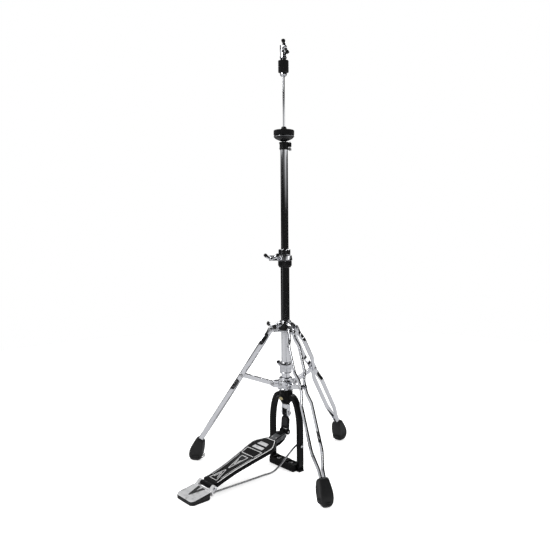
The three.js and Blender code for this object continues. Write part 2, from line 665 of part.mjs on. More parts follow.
// One side rod of the pedal: from the heel casting forward over the floor and up to the arm
function addRadiusRods() {
  const [heelX, heelZ] = ROD_SOCKET;
  const high = RADIUS_ROD_Z;
  const route = [
    [heelX, HEEL_Y[1] + 2.8, heelZ], [31, -200, 13.5], [36, -110, 15], [38.2, -78, 16.5],
    [38.8, -66, 21.5], [40.2, -30, high - 19], [41, -8, high - 3.5], [42, -2, high - 0.3],
    [45, 0, high], [ARM_X, 0, high], [ARM_X + 8.1, 0, high],
  ];
  [1, -1].forEach((side) => {
    const points = route.map(([x, y, z]) => new THREE.Vector3(side * x, y, z));
    const path = new THREE.CatmullRomCurve3(points, false, 'centripetal');
    const wire = new THREE.ExtrudeGeometry(circle(RADIUS_ROD_R, 6), { steps: 32, extrudePath: path });
    add(side > 0 ? 'radius_rod_right' : 'radius_rod_left', closed(wire), chrome);
  });
}

// ---------- pedal ----------

function addHeel() {
  const [back, front] = HEEL_Y;
  const tilt = new THREE.Matrix4().makeRotationX(HEEL_SLOPE);
  tilt.setPosition(0, back, HEEL_END_Z);
  const outline = roundedRectangle([-HEEL_HALF, HEEL_HALF], [0, front - back], 9);
  const sheet = plate(outline, [0, HEEL_PLATE_THICK], 0.6).applyMatrix4(tilt);
  const wall = block([-HEEL_WALL_HALF, HEEL_WALL_HALF], [front + GAP, front + 4.5], [7, 15.6]);
  const hinge = (radius, from, to, sides) => {
    return bar(radius, [from, HINGE_Y, HINGE_Z], [to, HINGE_Y, HINGE_Z], sides);
  };
  const knuckles = [-1, 1].map((side) => hinge(KNUCKLE_R, side * 21, side * 31.5));
  const webs = [-1, 1].map((side) => {
    return block([side * 21, side * 31.5].sort((a, b) => a - b), [front - 4, HINGE_Y], [15, HINGE_Z - 1]);
  });
  const [rodX, rodZ] = ROD_SOCKET;
  const sockets = [-1, 1].map((side) => {
    return bar(RADIUS_ROD_R + 0.5, [side * rodX, front + 2.4, rodZ], [side * rodX, front + 14, rodZ]);
  });
  const pinHole = hinge(BOLT_HOLE_R, -35, 35);
  add('heel_plate', cut(join(sheet, wall, ...webs, ...knuckles), pinHole, ...sockets), castMetal);

  // Rubber pad under the plate, cut off along the plate's slope
  const grown = roundedRectangle([-HEEL_WALL_HALF, HEEL_WALL_HALF], [back - 1, front], 10);
  const pad = plate(grown, [0, 24], 1);
  const above = block([-60, 60], [-20, front - back + 40], [-GAP, 60]).applyMatrix4(tilt);
  const webSpace = block([-60, 60], [front - 5, front + 5], [14.6, 40]);
  add('heel_rubber', cut(pad, above, webSpace), rubber);

  const pinEnds = [-1, 1].map((side) => hinge(4.6, side * 31.8, side * 35, 6));
  add('hinge_pin', join(hinge(BOLT_R, -33, 33), ...pinEnds), zinc);
}

function addFootboard() {
  const rise = TOE_PIN[1] - HINGE_Z;
  const run = TOE_PIN[0] - HINGE_Y;
  const reach = Math.hypot(rise, run);
  const pedal = new THREE.Group();
  pedal.position.set(0, HINGE_Y, HINGE_Z);
  pedal.rotation.x = Math.atan2(rise, run);

  // Right edge from heel to toe, as [half width, distance from the hinge]
  const edge = new THREE.SplineCurve([
    [26.5, 9], [25.6, 40], [26.4, 70], [30, 100], [34.5, 133], [38.6, 160], [39.6, 173],
  ].map(([x, y]) => new THREE.Vector2(x, y)));
  const right = edge.getPoints(9).map((p) => [p.x, p.y]).concat([[38.5, 181], [31, 191], [17.5, 207]]);
  const left = right.map(([x, y]) => [-x, y]).reverse();
  const board = plate(right.concat(left), [BOARD_TOP - BOARD_THICK, BOARD_TOP], 1.6);
  const half = 20.6;
  const knuckle = bar(KNUCKLE_R, [-half, 0, 0], [half, 0, 0]);
  const neck = block([-half, half], [0, 14], [-3.5, 3]);
  const pinHole = bar(BOLT_HOLE_R, [-25, 0, 0], [25, 0, 0]);
  const earSpace = [-1, 1].map((side) => {
    return bar(KNUCKLE_R + 1, [side * (half + 0.1), 0, 0], [side * 40, 0, 0]);
  });
  pedal.add(mesh('footboard', cut(join(board, knuckle, neck), pinHole, ...earSpace), darkPaint));

  // Toe plate: a stepped tongue under the board that ends in the toe barrel
  const under = BOARD_TOP - BOARD_THICK - GAP;
  const profile = [
    [172, under - 3.3], [172, under], [207.3, under], [207.3, 2], [reach - 2, 2], [reach, -3],
    [reach - 9, under - 3.3],
  ];
  const tongue = plate(profile, [-14, 14], 0.8).rotateX(Math.PI / 2).rotateZ(Math.PI / 2);
  const toe = (radius, from, to) => bar(radius, [from, reach, 0], [to, reach, 0]);
  const room = [-1, 1].map((side) => toe(9, side * 8.9, side * 20));
  const toePlate = cut(join(cut(tongue, ...room), toe(6, -8.8, 8.8)), toe(PIN_HOLE_R, -20, 20));
  pedal.add(mesh('toe_plate', toePlate, castMetal));
  pedal.add(mesh('toe_pin', toe(PIN_R, -14.4, 14.4), zinc));
  stand.add(pedal);
}

addClutch();
addSeat();
addColumn();
addHeightClamp();
addTripod();
addDrive();
addFrame();
addRadiusRods();
addHeel();
addFootboard();

export default stand;
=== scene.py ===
import json
import math

import bmesh
import bpy
from mathutils import Matrix, Vector


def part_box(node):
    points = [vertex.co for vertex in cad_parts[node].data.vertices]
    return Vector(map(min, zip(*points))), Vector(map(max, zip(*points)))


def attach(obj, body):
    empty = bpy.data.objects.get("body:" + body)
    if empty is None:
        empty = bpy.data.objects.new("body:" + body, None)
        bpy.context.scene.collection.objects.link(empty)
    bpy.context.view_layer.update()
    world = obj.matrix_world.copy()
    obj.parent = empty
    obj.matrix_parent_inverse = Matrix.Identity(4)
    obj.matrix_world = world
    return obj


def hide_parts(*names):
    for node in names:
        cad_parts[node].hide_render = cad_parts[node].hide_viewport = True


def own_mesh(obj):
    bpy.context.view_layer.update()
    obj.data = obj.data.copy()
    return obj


bl_info = {
    "name": "Hi-hat stand",
    "version": (1, 0, 0),
    "blender": (4, 5, 0),
    "location": "View3D > Sidebar > Hi-hat stand",
    "description": "Builds the finished pieces of a folding hi-hat stand round its packed frame",
    "category": "Object",
}

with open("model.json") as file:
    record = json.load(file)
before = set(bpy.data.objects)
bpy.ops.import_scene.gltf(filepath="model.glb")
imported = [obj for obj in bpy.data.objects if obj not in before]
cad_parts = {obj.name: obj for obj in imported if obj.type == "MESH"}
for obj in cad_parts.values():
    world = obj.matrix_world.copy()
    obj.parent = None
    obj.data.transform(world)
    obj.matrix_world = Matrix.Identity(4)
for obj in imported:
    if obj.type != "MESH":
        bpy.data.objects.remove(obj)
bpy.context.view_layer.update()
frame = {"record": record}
RECORD = frame["record"]

MM = 0.001
GAP = 0.3  # clearance between pieces that touch, in millimetres
UP = Vector((0, 0, 1))

# Which body each node moves with, and each joint by its name
BODY_OF = {node: body for body, nodes in RECORD["behaviour"]["bodies"].items() for node in nodes}
JOINT_OF = {joint["name"]: joint for joint in RECORD["behaviour"]["joints"]}

# Tripod, in millimetres and degrees
LEG_TILT = math.radians(32.8)
LEG_TO_BRACE = 142.6
LEG_END = 370
STRIP_NARROW = 6.6
STRIP_WIDE = 13.4
STRIP_WIDTH = 13
STRIP_THICK = 4.5

# Pedal: the board's right edge from the heel, as half width and distance from the hinge
BOARD_EDGE = [
    (26.5, 9), (25.6, 40), (26.4, 70), (30, 100), (34.5, 133), (38.6, 160), (39.6, 173),
]
BOARD_NOSE = [(38.5, 181), (31, 191), (17.5, 207)]
BOARD_TOP = 4
BOARD_UNDER = -5
HEEL_SLOPE = math.radians(8.8)
HEEL_END_Z = 8.8


# ---------- settings ----------


class StandSizes(bpy.types.PropertyGroup):
    """Sizes of the stand's small details."""

    tube_steps: bpy.props.IntProperty(
        name="Tube steps", description="Sides of each turned piece", default=72, min=24, max=128
    )
    tube_wall: bpy.props.FloatProperty(
        name="Tube wall", description="Wall of the column's tubes", default=1.2 * MM, unit="LENGTH"
    )
    edge_round: bpy.props.FloatProperty(
        name="Edge round", description="Rounding of machined edges", default=0.45 * MM, unit="LENGTH"
    )
    felt_nap: bpy.props.FloatProperty(
        name="Felt nap", description="How far the felts' surface wanders", default=0.5 * MM, unit="LENGTH"
    )
    trim_width: bpy.props.FloatProperty(
        name="Trim width", description="Width of the board's raised lines", default=2.1 * MM, unit="LENGTH"
    )
    rib_pitch: bpy.props.FloatProperty(
        name="Rib pitch", description="Spacing of the heel plate's ribs", default=2.9 * MM, unit="LENGTH"
    )


def colour(name, description, default):
    """A colour property: red, green and blue from 0 to 1."""
    return bpy.props.FloatVectorProperty(
        name=name, description=description, default=default, subtype="COLOR", size=3, min=0, max=1
    )


class StandColours(bpy.types.PropertyGroup):
    """Base colours of the stand's finishes."""

    chrome: colour("Chrome", "Polished chrome plate", (0.80, 0.81, 0.84))
    casting: colour("Casting", "Chrome plated die casting", (0.72, 0.73, 0.76))
    zinc: colour("Fasteners", "Bright plated bolts and nuts", (0.62, 0.62, 0.63))
    spring: colour("Spring", "Oiled spring wire", (0.30, 0.29, 0.28))
    paint: colour("Black paint", "Satin black coat of the pull frame and board", (0.003, 0.003, 0.0033))
    rubber: colour("Rubber", "Moulded rubber of the feet and heel pad", (0.006, 0.006, 0.0065))
    nylon: colour("Nylon", "Black moulded nylon", (0.0045, 0.0045, 0.005))
    felt: colour("Felt", "Black pressed felt", (0.004, 0.004, 0.0045))
    silver: colour("Silver", "Satin silver of the heel plate and trim", (0.74, 0.74, 0.75))
    toe_grey: colour("Toe grey", "Grey toe plate", (0.13, 0.135, 0.14))
    badge: colour("Badge", "Pale brass of the plain badge", (0.55, 0.49, 0.30))


class StageSetup(bpy.types.PropertyGroup):
    """Camera, floor and light."""

    azimuth: bpy.props.FloatProperty(
        name="Azimuth", description="Camera's turn round the stand",
        default=math.radians(48), subtype="ANGLE",
    )
    distance: bpy.props.FloatProperty(
        name="Distance", description="Camera from the column's axis", default=1.503, unit="LENGTH"
    )
    height: bpy.props.FloatProperty(
        name="Height", description="Camera over the floor", default=0.613, unit="LENGTH"
    )
    pitch: bpy.props.FloatProperty(
        name="Pitch", description="How far the camera looks down",
        default=math.radians(4.54), subtype="ANGLE",
    )
    pan: bpy.props.FloatProperty(
        name="Pan", description="How far the camera looks left", default=math.radians(0.96), subtype="ANGLE"
    )
    roll: bpy.props.FloatProperty(
        name="Roll", description="Camera's roll", default=math.radians(-0.51), subtype="ANGLE"
    )
    lens: bpy.props.FloatProperty(name="Lens", description="Focal length", default=39.14, unit="CAMERA")
    floor_radius: bpy.props.FloatProperty(
        name="Floor radius", description="Size of the round floor", default=2.05, unit="LENGTH"
    )


# ---------- finishes ----------


class Wire:
    """A shader socket. Arithmetic on it adds Math nodes."""

    def __init__(self, shader, socket):
        self.shader = shader
        self.socket = socket

    def maths(self, operation, first, second=0.0):
        """One math node on two wires or numbers."""
        return self.shader.add("ShaderNodeMath", {"operation": operation}, {0: first, 1: second})

    def __add__(self, other):
        return self.maths("ADD", self, other)

    def __sub__(self, other):
        return self.maths("SUBTRACT", self, other)

    def __rsub__(self, other):
        return self.maths("SUBTRACT", other, self)

    def __mul__(self, other):
        return self.maths("MULTIPLY", self, other)

    __radd__ = __add__
    __rmul__ = __mul__


class Shader:
    """A material's or the world's node tree, cleared and ready."""

    def __init__(self, owner):
        owner.use_nodes = True
        self.owner = owner
        self.tree = owner.node_tree
        self.tree.nodes.clear()

    def add(self, kind, settings=None, inputs=None, output=0):
        """Adds one node: its settings first, then the values or links of its sockets."""
        node = self.tree.nodes.new(kind)
        for key, value in (settings or {}).items():
            setattr(node, key, value)
        for key, value in (inputs or {}).items():
            if isinstance(value, Wire):
                self.tree.links.new(value.socket, node.inputs[key])
            else:
                node.inputs[key].default_value = value
        return Wire(self, node.outputs[output]) if node.outputs else None

    def place(self, scale=(1, 1, 1)):
        """Object coordinates, stretched along the axes."""
        coordinates = self.add("ShaderNodeTexCoord", output="Object")
        return self.add("ShaderNodeMapping", inputs={"Vector": coordinates, "Scale": scale})

    def noise(self, scale, detail=4.0, stretch=(1, 1, 1), roughness=0.5):
        """Noise over the object, finer with a larger scale."""
        settings = {"Vector": self.place(stretch), "Scale": scale, "Detail": detail, "Roughness": roughness}
        return self.add("ShaderNodeTexNoise", inputs=settings)

    def span(self, value, low, high, bottom=0.0, top=1.0):
        """Maps low..high to bottom..top, held at both ends."""
        limits = {"From Min": low, "From Max": high, "To Min": bottom, "To Max": top}
        return self.add("ShaderNodeMapRange", inputs={"Value": value, **limits})

    def blend(self, mask, first, second):
        """Mixes two colours by a mask."""
        shades = {6: self.shade(first), 7: self.shade(second), 0: mask}
        return self.add("ShaderNodeMix", {"data_type": "RGBA"}, shades, output=2)

    @staticmethod
    def shade(value):
        """A colour as a socket takes it, with alpha; a link stays as it is."""
        return value if isinstance(value, Wire) else (*value[:3], 1)

    def bump(self, height, depth, strength=1.0, normal=None):
        """A normal from a height, on top of another normal if one is given."""
        inputs = {"Height": height, "Distance": depth, "Strength": strength}
        if normal:
            inputs["Normal"] = normal
        return self.add("ShaderNodeBump", inputs=inputs)

    def surface(self, base, roughness, normal=None, **fixed):
        """Ends the material in one Principled shader."""
        inputs = {"Base Color": self.shade(base), "Roughness": roughness}
        if normal:
            inputs["Normal"] = normal
        inputs.update({key.replace("_", " "): value for key, value in fixed.items()})
        shader = self.add("ShaderNodeBsdfPrincipled", inputs=inputs)
        self.add("ShaderNodeOutputMaterial", inputs={"Surface": shader})
        return self.owner


def scaled(shade, factor):
    """The colour made darker or lighter, kept at 1 or less."""
    return tuple(min(1.0, part * factor) for part in shade[:3])


def polished_chrome(shader, tints):
    """Mirror chrome with a breath of haze, finger marks and fine drawing lines."""
    haze = shader.noise(38.0, 3.0)
    marks = shader.span(shader.noise(16.0, 5.0), 0.56, 0.70)
    lines = shader.noise(900.0, 2.0, (1, 1, 0.015))
    tint = shader.blend(haze, scaled(tints.chrome, 0.93), scaled(tints.chrome, 1.04))
    roughness = 0.045 + haze * 0.03 + marks * 0.06
    ripple = shader.bump(shader.noise(55.0, 1.0), 0.00012, 0.12)
    return shader.surface(tint, roughness, shader.bump(lines, 0.00001, 0.1, ripple), Metallic=1.0)


def cast_chrome(shader, tints):
    """Plated casting: softer, with orange peel and dull hollows."""
    peel = shader.noise(420.0, 2.0)
    cloud = shader.noise(60.0, 4.0)
    dull = shader.span(cloud, 0.45, 0.70)
    tint = shader.blend(dull, scaled(tints.casting, 1.08), scaled(tints.casting, 0.82))
    roughness = 0.085 + dull * 0.12
    return shader.surface(tint, roughness, shader.bump(peel, 0.0001, 0.35), Metallic=1.0)


def plated_steel(shader, tints):
    """Bright zinc on bolts and nuts, with turning marks and a few darker spots."""
    turning = shader.noise(1500.0, 2.0, (0.2, 0.2, 1))
    spots = shader.span(shader.noise(260.0, 3.0), 0.58, 0.72)
    tint = shader.blend(spots, tints.zinc, scaled(tints.zinc, 0.6))
    roughness = 0.22 + turning * 0.14 + spots * 0.12
    return shader.surface(tint, roughness, shader.bump(turning, 0.00002, 0.5), Metallic=1.0)


def spring_wire(shader, tints):
    """Dark spring steel under an uneven film of oil."""
    film = shader.noise(300.0, 4.0)
    tint = shader.blend(film, scaled(tints.spring, 0.6), scaled(tints.spring, 1.25))
    return shader.surface(tint, 0.25 + film * 0.2, shader.bump(film, 0.00003, 0.5), Metallic=1.0)


def black_coat(shader, tints):
    """Satin powder coat: fine orange peel, rubbed lighter in patches."""
    peel = shader.noise(1100.0, 2.0)
    rubbed = shader.span(shader.noise(48.0, 6.0, roughness=0.65), 0.54, 0.74)
    tint = shader.blend(rubbed, tints.paint, scaled(tints.paint, 2.1))
    roughness = 0.26 + rubbed * 0.14 + peel * 0.06
    return shader.surface(tint, roughness, shader.bump(peel, 0.00005, 0.35), Specular_IOR_Level=0.1)


def board_coat(shader, tints):
    """The footboard's coat, scuffed along the board by shoes."""
    scuffs = shader.span(shader.noise(130.0, 5.0, (1, 0.08, 1)), 0.60, 0.74)
    grain = shader.noise(1600.0, 2.0)
    tint = shader.blend(scuffs, tints.paint, scaled(tints.paint, 3.0))
    roughness = 0.30 + scuffs * 0.25
    return shader.surface(tint, roughness, shader.bump(grain, 0.00006, 0.35), Specular_IOR_Level=0.08)


def moulded_rubber(shader, tints):
    """Matt rubber with a fine pebble and pale dust that gathers low down."""
    pebble = shader.noise(1300.0, 3.0)
    height = shader.add("ShaderNodeSeparateXYZ", inputs={"Vector": shader.place()}, output="Z")
    low = shader.span(height, 0.0, 0.02, 1.0, 0.0)
    dust = shader.span(shader.noise(90.0, 5.0), 0.42, 0.78) * (0.25 + low * 0.75)
    tint = shader.blend(dust, tints.rubber, scaled(tints.rubber, 3.4))
    roughness = 0.50 + dust * 0.28 + pebble * 0.08
    return shader.surface(tint, roughness, shader.bump(pebble, 0.0001, 0.45), Specular_IOR_Level=0.45)


def moulded_nylon(shader, tints):
    """Black moulded nylon, worn paler in patches."""
    texture = shader.noise(800.0, 3.0)
    worn = shader.span(shader.noise(70.0, 5.0), 0.55, 0.75)
    tint = shader.blend(worn, tints.nylon, scaled(tints.nylon, 2.2))
    normal = shader.bump(texture, 0.00006, 0.4)
    return shader.surface(tint, 0.30 + worn * 0.2, normal, Specular_IOR_Level=0.35)


def tip_plastic(shader, tints):
    """Soft dipped plastic on the wings' ends."""
    swirl = shader.noise(240.0, 3.0)
    tint = shader.blend(swirl, scaled(tints.nylon, 0.7), scaled(tints.nylon, 1.5))
    normal = shader.bump(swirl, 0.00012, 0.3)
    return shader.surface(tint, 0.22 + swirl * 0.12, normal, Specular_IOR_Level=0.35)


def pressed_felt(shader, tints):
    """Wool felt: crossed fibres, lint and a soft sheen."""
    along = shader.noise(1900.0, 4.0, (1, 1, 0.25))
    across = shader.noise(1700.0, 4.0, (0.25, 1, 1))
    fibres = along * 0.5 + across * 0.5
    lint = shader.span(fibres, 0.56, 0.66)
    tint = shader.blend(lint, tints.felt, scaled(tints.felt, 3.0))
    normal = shader.bump(fibres, 0.0005, 0.9)
    return shader.surface(tint, 0.92, normal, Specular_IOR_Level=0.1, Sheen_Weight=0.08, Sheen_Roughness=0.5)


def ribbed_silver(shader, tints):
    """Satin silver with brushing across the plate and worn, darker grooves."""
    brushing = shader.noise(1400.0, 3.0, (0.06, 1, 1))
    grime = shader.span(shader.noise(85.0, 6.0), 0.50, 0.72)
    tint = shader.blend(grime, tints.silver, scaled(tints.silver, 0.62))
    roughness = 0.30 + brushing * 0.12 + grime * 0.14
    return shader.surface(tint, roughness, shader.bump(brushing, 0.00004, 0.6), Metallic=0.5)


def rubbed_trim(shader, tints):
    """Raised lines where shoes have polished the paint away."""
    scuffs = shader.span(shader.noise(420.0, 4.0), 0.55, 0.68)
    tint = shader.blend(scuffs, scaled(tints.silver, 1.5), scaled(tints.silver, 0.85))
    return shader.surface(tint, 0.32 + scuffs * 0.22, shader.bump(scuffs, 0.00005, 0.5), Metallic=0.15)


def toe_enamel(shader, tints):
    """Grey enamel on the toe plate, rubbed lighter in patches."""
    grain = shader.noise(700.0, 4.0)
    rubbed = shader.span(shader.noise(60.0, 5.0), 0.50, 0.72)
    tint = shader.blend(rubbed, tints.toe_grey, scaled(tints.toe_grey, 1.8))
    return shader.surface(tint, 0.30 + rubbed * 0.15, shader.bump(grain, 0.00005, 0.5), Metallic=0.75)


def badge_brass(shader, tints):
    """Satin brass with a fine brushed grain."""
    satin = shader.noise(900.0, 3.0, (1, 1, 0.1))
    tint = shader.blend(satin, scaled(tints.badge, 0.8), scaled(tints.badge, 1.25))
    return shader.surface(tint, 0.28 + satin * 0.1, shader.bump(satin, 0.00003, 0.5), Metallic=1.0)


FINISHES = {
    "chrome": polished_chrome,
    "casting": cast_chrome,
    "zinc": plated_steel,
    "spring": spring_wire,
    "coat": black_coat,
    "board": board_coat,
    "rubber": moulded_rubber,
    "nylon": moulded_nylon,
    "tip": tip_plastic,
    "felt": pressed_felt,
    "silver": ribbed_silver,
    "trim": rubbed_trim,
    "toe": toe_enamel,
    "brass": badge_brass,
}


def finish(name):
    """The finish of that name, made when it is first asked for."""
    made = bpy.data.materials.get(f"stand_{name}")
    if made is None:
        shader = Shader(bpy.data.materials.new(f"stand_{name}"))
        made = FINISHES[name](shader, bpy.context.scene.stand_colours)
    return made


# ---------- shaping ----------


def sizes():
    """The sizes set in the panel."""
    return bpy.context.scene.stand_sizes


def limits(node):
    """A node's lowest and highest corner, in millimetres."""
    low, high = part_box(node)
    return Vector(low) / MM, Vector(high) / MM


def part(name, points, faces, look, edges=()):
    """A helper object from points in millimetres. Closed cages are turned outwards."""
    mesh = bpy.data.meshes.new(name)
    mesh.from_pydata([Vector(point) * MM for point in points], edges, faces)
    if faces:
        work = bmesh.new()
        work.from_mesh(mesh)
        bmesh.ops.recalc_face_normals(work, faces=work.faces)
        work.to_mesh(mesh)
        work.free()
    mesh.polygons.foreach_set("use_smooth", [True] * len(mesh.polygons))
    mesh.materials.append(finish(look))
    made = bpy.data.objects.new(name, mesh)
    bpy.context.scene.collection.objects.link(made)
    return made


def modify(made, kind, **settings):
    """Adds a modifier with its settings."""
    modifier = made.modifiers.new(kind.title(), kind)
    for key, value in settings.items():
        setattr(modifier, key, value)
    return made


def rounded(made, width=None, segments=3, angle=32):
    """Rounds the sharp edges and evens the shading. width is in millimetres."""
    size = sizes().edge_round if width is None else width * MM
    settings = {"width": size, "segments": segments, "limit_method": "ANGLE"}
    modify(made, "BEVEL", angle_limit=math.radians(angle), **settings)
    return modify(made, "WEIGHTED_NORMAL", keep_sharp=True)


def smoothed(made, levels=2):
    """A subdivided surface."""
    return modify(made, "SUBSURF", levels=levels, render_levels=levels)


def turned(outline, look, steps=None, edge=None, segments=2):
    """A body turned about Z. The outline runs from the top of the outside down and closes on
    itself, or starts and ends on the axis."""
    steps = steps or sizes().tube_steps
    on_axis = outline[0][0] == 0 and outline[-1][0] == 0
    count = len(outline)
    edges = [(i, (i + 1) % count) for i in range(count - 1 if on_axis else count)]
    made = part("turned", [(r, 0, z) for r, z in outline], [], look, edges)
    settings = {"steps": steps, "render_steps": steps, "use_normal_calculate": True}
    modify(made, "SCREW", use_merge_vertices=True, merge_threshold=0.00001, **settings)
    return rounded(made, edge, segments)


def lofted(loops, look):
    """A closed body through a row of loops with the same number of points."""
    size = len(loops[0])
    faces = [tuple(range(size)), tuple(range((len(loops) - 1) * size, len(loops) * size))]
    for i in range(len(loops) - 1):
        for k in range(size):
            n = (k + 1) % size
            faces.append((i * size + k, i * size + n, (i + 1) * size + n, (i + 1) * size + k))
    return part("lofted", [point for loop in loops for point in loop], faces, look)


def prism(outline, low, high, look):
    """An outline in X-Y drawn up from low to high."""
    return lofted([[(x, y, z) for x, y in outline] for z in (low, high)], look)


def slab(outline, side, near, far, look):
    """A plate on one side of the middle: side is -1 or 1, near and far its faces' distances."""
    low, high = sorted((side * near, side * far))
    return prism(outline, low, high, look)


def brick(x, y, z, look):
    """A plain block, for rounding or cutting further, from its limits along each axis."""
    return prism([(x[0], y[0]), (x[1], y[0]), (x[1], y[1]), (x[0], y[1])], z[0], z[1], look)


def wire(points, radius, look, cyclic=False, smooth=True, sides=6):
    """A round wire through points in millimetres."""
    curve = bpy.data.curves.new("wire", "CURVE")
    curve.dimensions = "3D"
    curve.bevel_depth = radius * MM
    curve.bevel_resolution = sides
    curve.use_fill_caps = not cyclic
    spline = curve.splines.new("BEZIER" if smooth else "POLY")
    line = spline.bezier_points if smooth else spline.points
    line.add(len(points) - 1)
    for knot, point in zip(line, points):
        knot.co = Vector(point) * MM if smooth else (*(Vector(point) * MM), 1)
        if smooth:
            knot.handle_left_type = "AUTO"
            knot.handle_right_type = "AUTO"
    spline.use_cyclic_u = cyclic
    curve.resolution_u = 8
    curve.materials.append(finish(look))
    made = bpy.data.objects.new("wire", curve)
    bpy.context.scene.collection.objects.link(made)
    return made


def put(made, place):
    """Places a helper. The place goes into its mesh when it becomes a piece."""
    made.matrix_world = place
    return made


def applied(made):
    """The helper as a plain mesh object at the origin, with its stack and its place applied."""
    bpy.context.view_layer.update()
    graph = bpy.context.evaluated_depsgraph_get()
    mesh = bpy.data.meshes.new_from_object(made.evaluated_get(graph), depsgraph=graph)
    mesh.transform(made.matrix_world)
    if made.matrix_world.determinant() < 0:
        mesh.flip_normals()
    bpy.data.objects.remove(made)
    plain = bpy.data.objects.new("plain", mesh)
    bpy.context.scene.collection.objects.link(plain)
    return plain


def joined(parts):
    """Several helpers as one mesh object."""
    plain = [applied(made) for made in parts]
    if len(plain) > 1:
        with bpy.context.temp_override(active_object=plain[0], selected_editable_objects=plain):
            bpy.ops.object.join()
    return plain[0]


def piece(parts, node, name=None, replaces=True):
    """Finishes a piece: it rides with the node's body and stands for the node unless replaces is false."""
    live = len(parts) == 1 and parts[0].matrix_world == Matrix.Identity(4)
    made = parts[0] if live else joined(parts)
    made.name = name or f"{node}_skin"
    made.data.name = made.name
    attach(made, BODY_OF[node])
    if replaces:
        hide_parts(node)
    return made


def arc(centre, radius, start, end, steps):
    """Points of a round stretch, by angles in degrees."""
    turns = [math.radians(start + (end - start) * i / steps) for i in range(steps + 1)]
    return [(centre[0] + radius * math.cos(t), centre[1] + radius * math.sin(t)) for t in turns]


def oval(half_x, half_y, steps):
    """Points of a closed oval round the origin."""
    turns = [2 * math.pi * i / steps for i in range(steps)]
    return [(half_x * math.cos(turn), half_y * math.sin(turn)) for turn in turns]


def rounded_outline(x, y, radius, steps=5):
    """A rectangle between two limits along each axis, with round corners."""
    corners = [(x[1], y[0], -90), (x[1], y[1], 0), (x[0], y[1], 90), (x[0], y[0], 180)]
    outline = []
    for cx, cy, start in corners:
        inner_x = cx - math.copysign(radius, cx - sum(x) / 2)
        inner_y = cy - math.copysign(radius, cy - sum(y) / 2)
        outline += arc((inner_x, inner_y), radius, start, start + 90, steps)
    return outline


def flowing(points, steps=4):
    """Points of a smooth line through the given ones."""
    knots = [Vector(point) for point in points]
    line = []
    for i in range(len(knots) - 1):
        before, start = knots[max(i - 1, 0)], knots[i]
        end, after = knots[i + 1], knots[min(i + 2, len(knots) - 1)]
        for k in range(steps):
            t = k / steps
            bend = 2 * start + (end - before) * t + (2 * before - 5 * start + 4 * end - after) * t**2
            line.append((bend + (3 * start - before - 3 * end + after) * t**3) / 2)
    return line + [knots[-1]]


def headings(line):
    """Unit direction of a line at each of its points."""
    last = len(line) - 1
    return [(line[min(i + 1, last)] - line[max(i - 1, 0)]).normalized() for i in range(len(line))]


def toward(origin, axis, up=UP):
    """A place whose Z runs along axis and whose X is level or as near as it can be."""
    z = Vector(axis).normalized()
    x = Vector(up).cross(z)
    x = x.normalized() if x.length > 0.001 else Vector((1, 0, 0))
    place = Matrix((x, z.cross(x), z)).transposed().to_4x4()
    place.translation = Vector(origin) * MM
    return place


def spoke(angle):
    """The level direction at an angle in degrees."""
    return Vector((math.cos(math.radians(angle)), math.sin(math.radians(angle)), 0))


def stood(place=Matrix.Identity(4)):
    """Stands a prism up: the outline's Y becomes Z and the prism's Z becomes -Y."""
    return place @ Matrix.Rotation(math.pi / 2, 4, "X")


def edgewise():
    """Stands a prism up with its outline in Y-Z and its depth along X."""
    return Matrix.Rotation(math.pi / 2, 4, "Z") @ Matrix.Rotation(math.pi / 2, 4, "X")


def moved(x, y, z):
    """A shift in millimetres."""
    return Matrix.Translation(Vector((x, y, z)) * MM)


# ---------- shared small parts ----------


def hex_head(radius, low, high, look="zinc"):
    """A hexagon with a turned chamfer and a shallow dish, about Z."""
    outline = [(0, high - 0.6), (radius * 0.5, high - 0.6), (radius * 0.62, high), (radius * 0.9, high)]
    outline += [(radius, high - 0.7), (radius, low), (0, low)]
    return turned(outline, look, steps=6, edge=0.25)


def dome(radius, low, high, look="zinc"):
    """A rivet's round head, about Z."""
    rise = high - low
    fullness = 0.8  # under 1, the shoulder is fuller than a quarter ellipse's
    turns = [math.pi / 2 * i / 5 for i in range(5)]
    outline = [(radius * math.sin(turn), low + rise * math.cos(turn) ** fullness) for turn in turns]
    return turned([*outline, (radius, low), (0, low)], look, steps=28, edge=0.15)


def rod(radius, low, high, look="zinc", edge=0.4):
    """A plain shaft about Z."""
    return turned([(0, high), (radius, high), (radius, low), (0, low)], look, steps=32, edge=edge)


def threaded(radius, low, high, look="zinc", pitch=1.25):
    """A screw's shank: a row of ridges about Z."""
    outline = [(0, high)]
    for i in range(int((high - low) / pitch)):
        top = high - i * pitch
        outline += [(radius - 0.35, top), (radius, top - pitch / 2)]
    return turned([*outline, (radius - 0.35, low), (0, low)], look, steps=24, edge=0.05)


def fluted(radius, depth, count, low, high, bore, look):
    """A ring with a scalloped outside, about Z."""
    sides = count * 6
    turns = [2 * math.pi * i / sides for i in range(sides)]

    def loop(inset, z):
        reach = [radius - inset - depth * (1 - math.cos(count * turn)) / 2 for turn in turns]
        return [(r * math.cos(turn), r * math.sin(turn), z) for r, turn in zip(reach, turns)]

    inner = [[(bore * math.cos(turn), bore * math.sin(turn), z) for turn in turns] for z in (high, low)]
    loops = [inner[1], loop(1.2, low), loop(0, low + 1.2), loop(0, high - 1.2), loop(1.2, high), inner[0]]
    points = [point for ring in loops for point in ring]
    faces = []
    for i in range(len(loops)):
        after = (i + 1) % len(loops)
        for k in range(sides):
            n = (k + 1) % sides
            faces.append((i * sides + k, i * sides + n, after * sides + n, after * sides + k))
    return rounded(part("fluted", points, faces, look), 0.3, 2, 40)


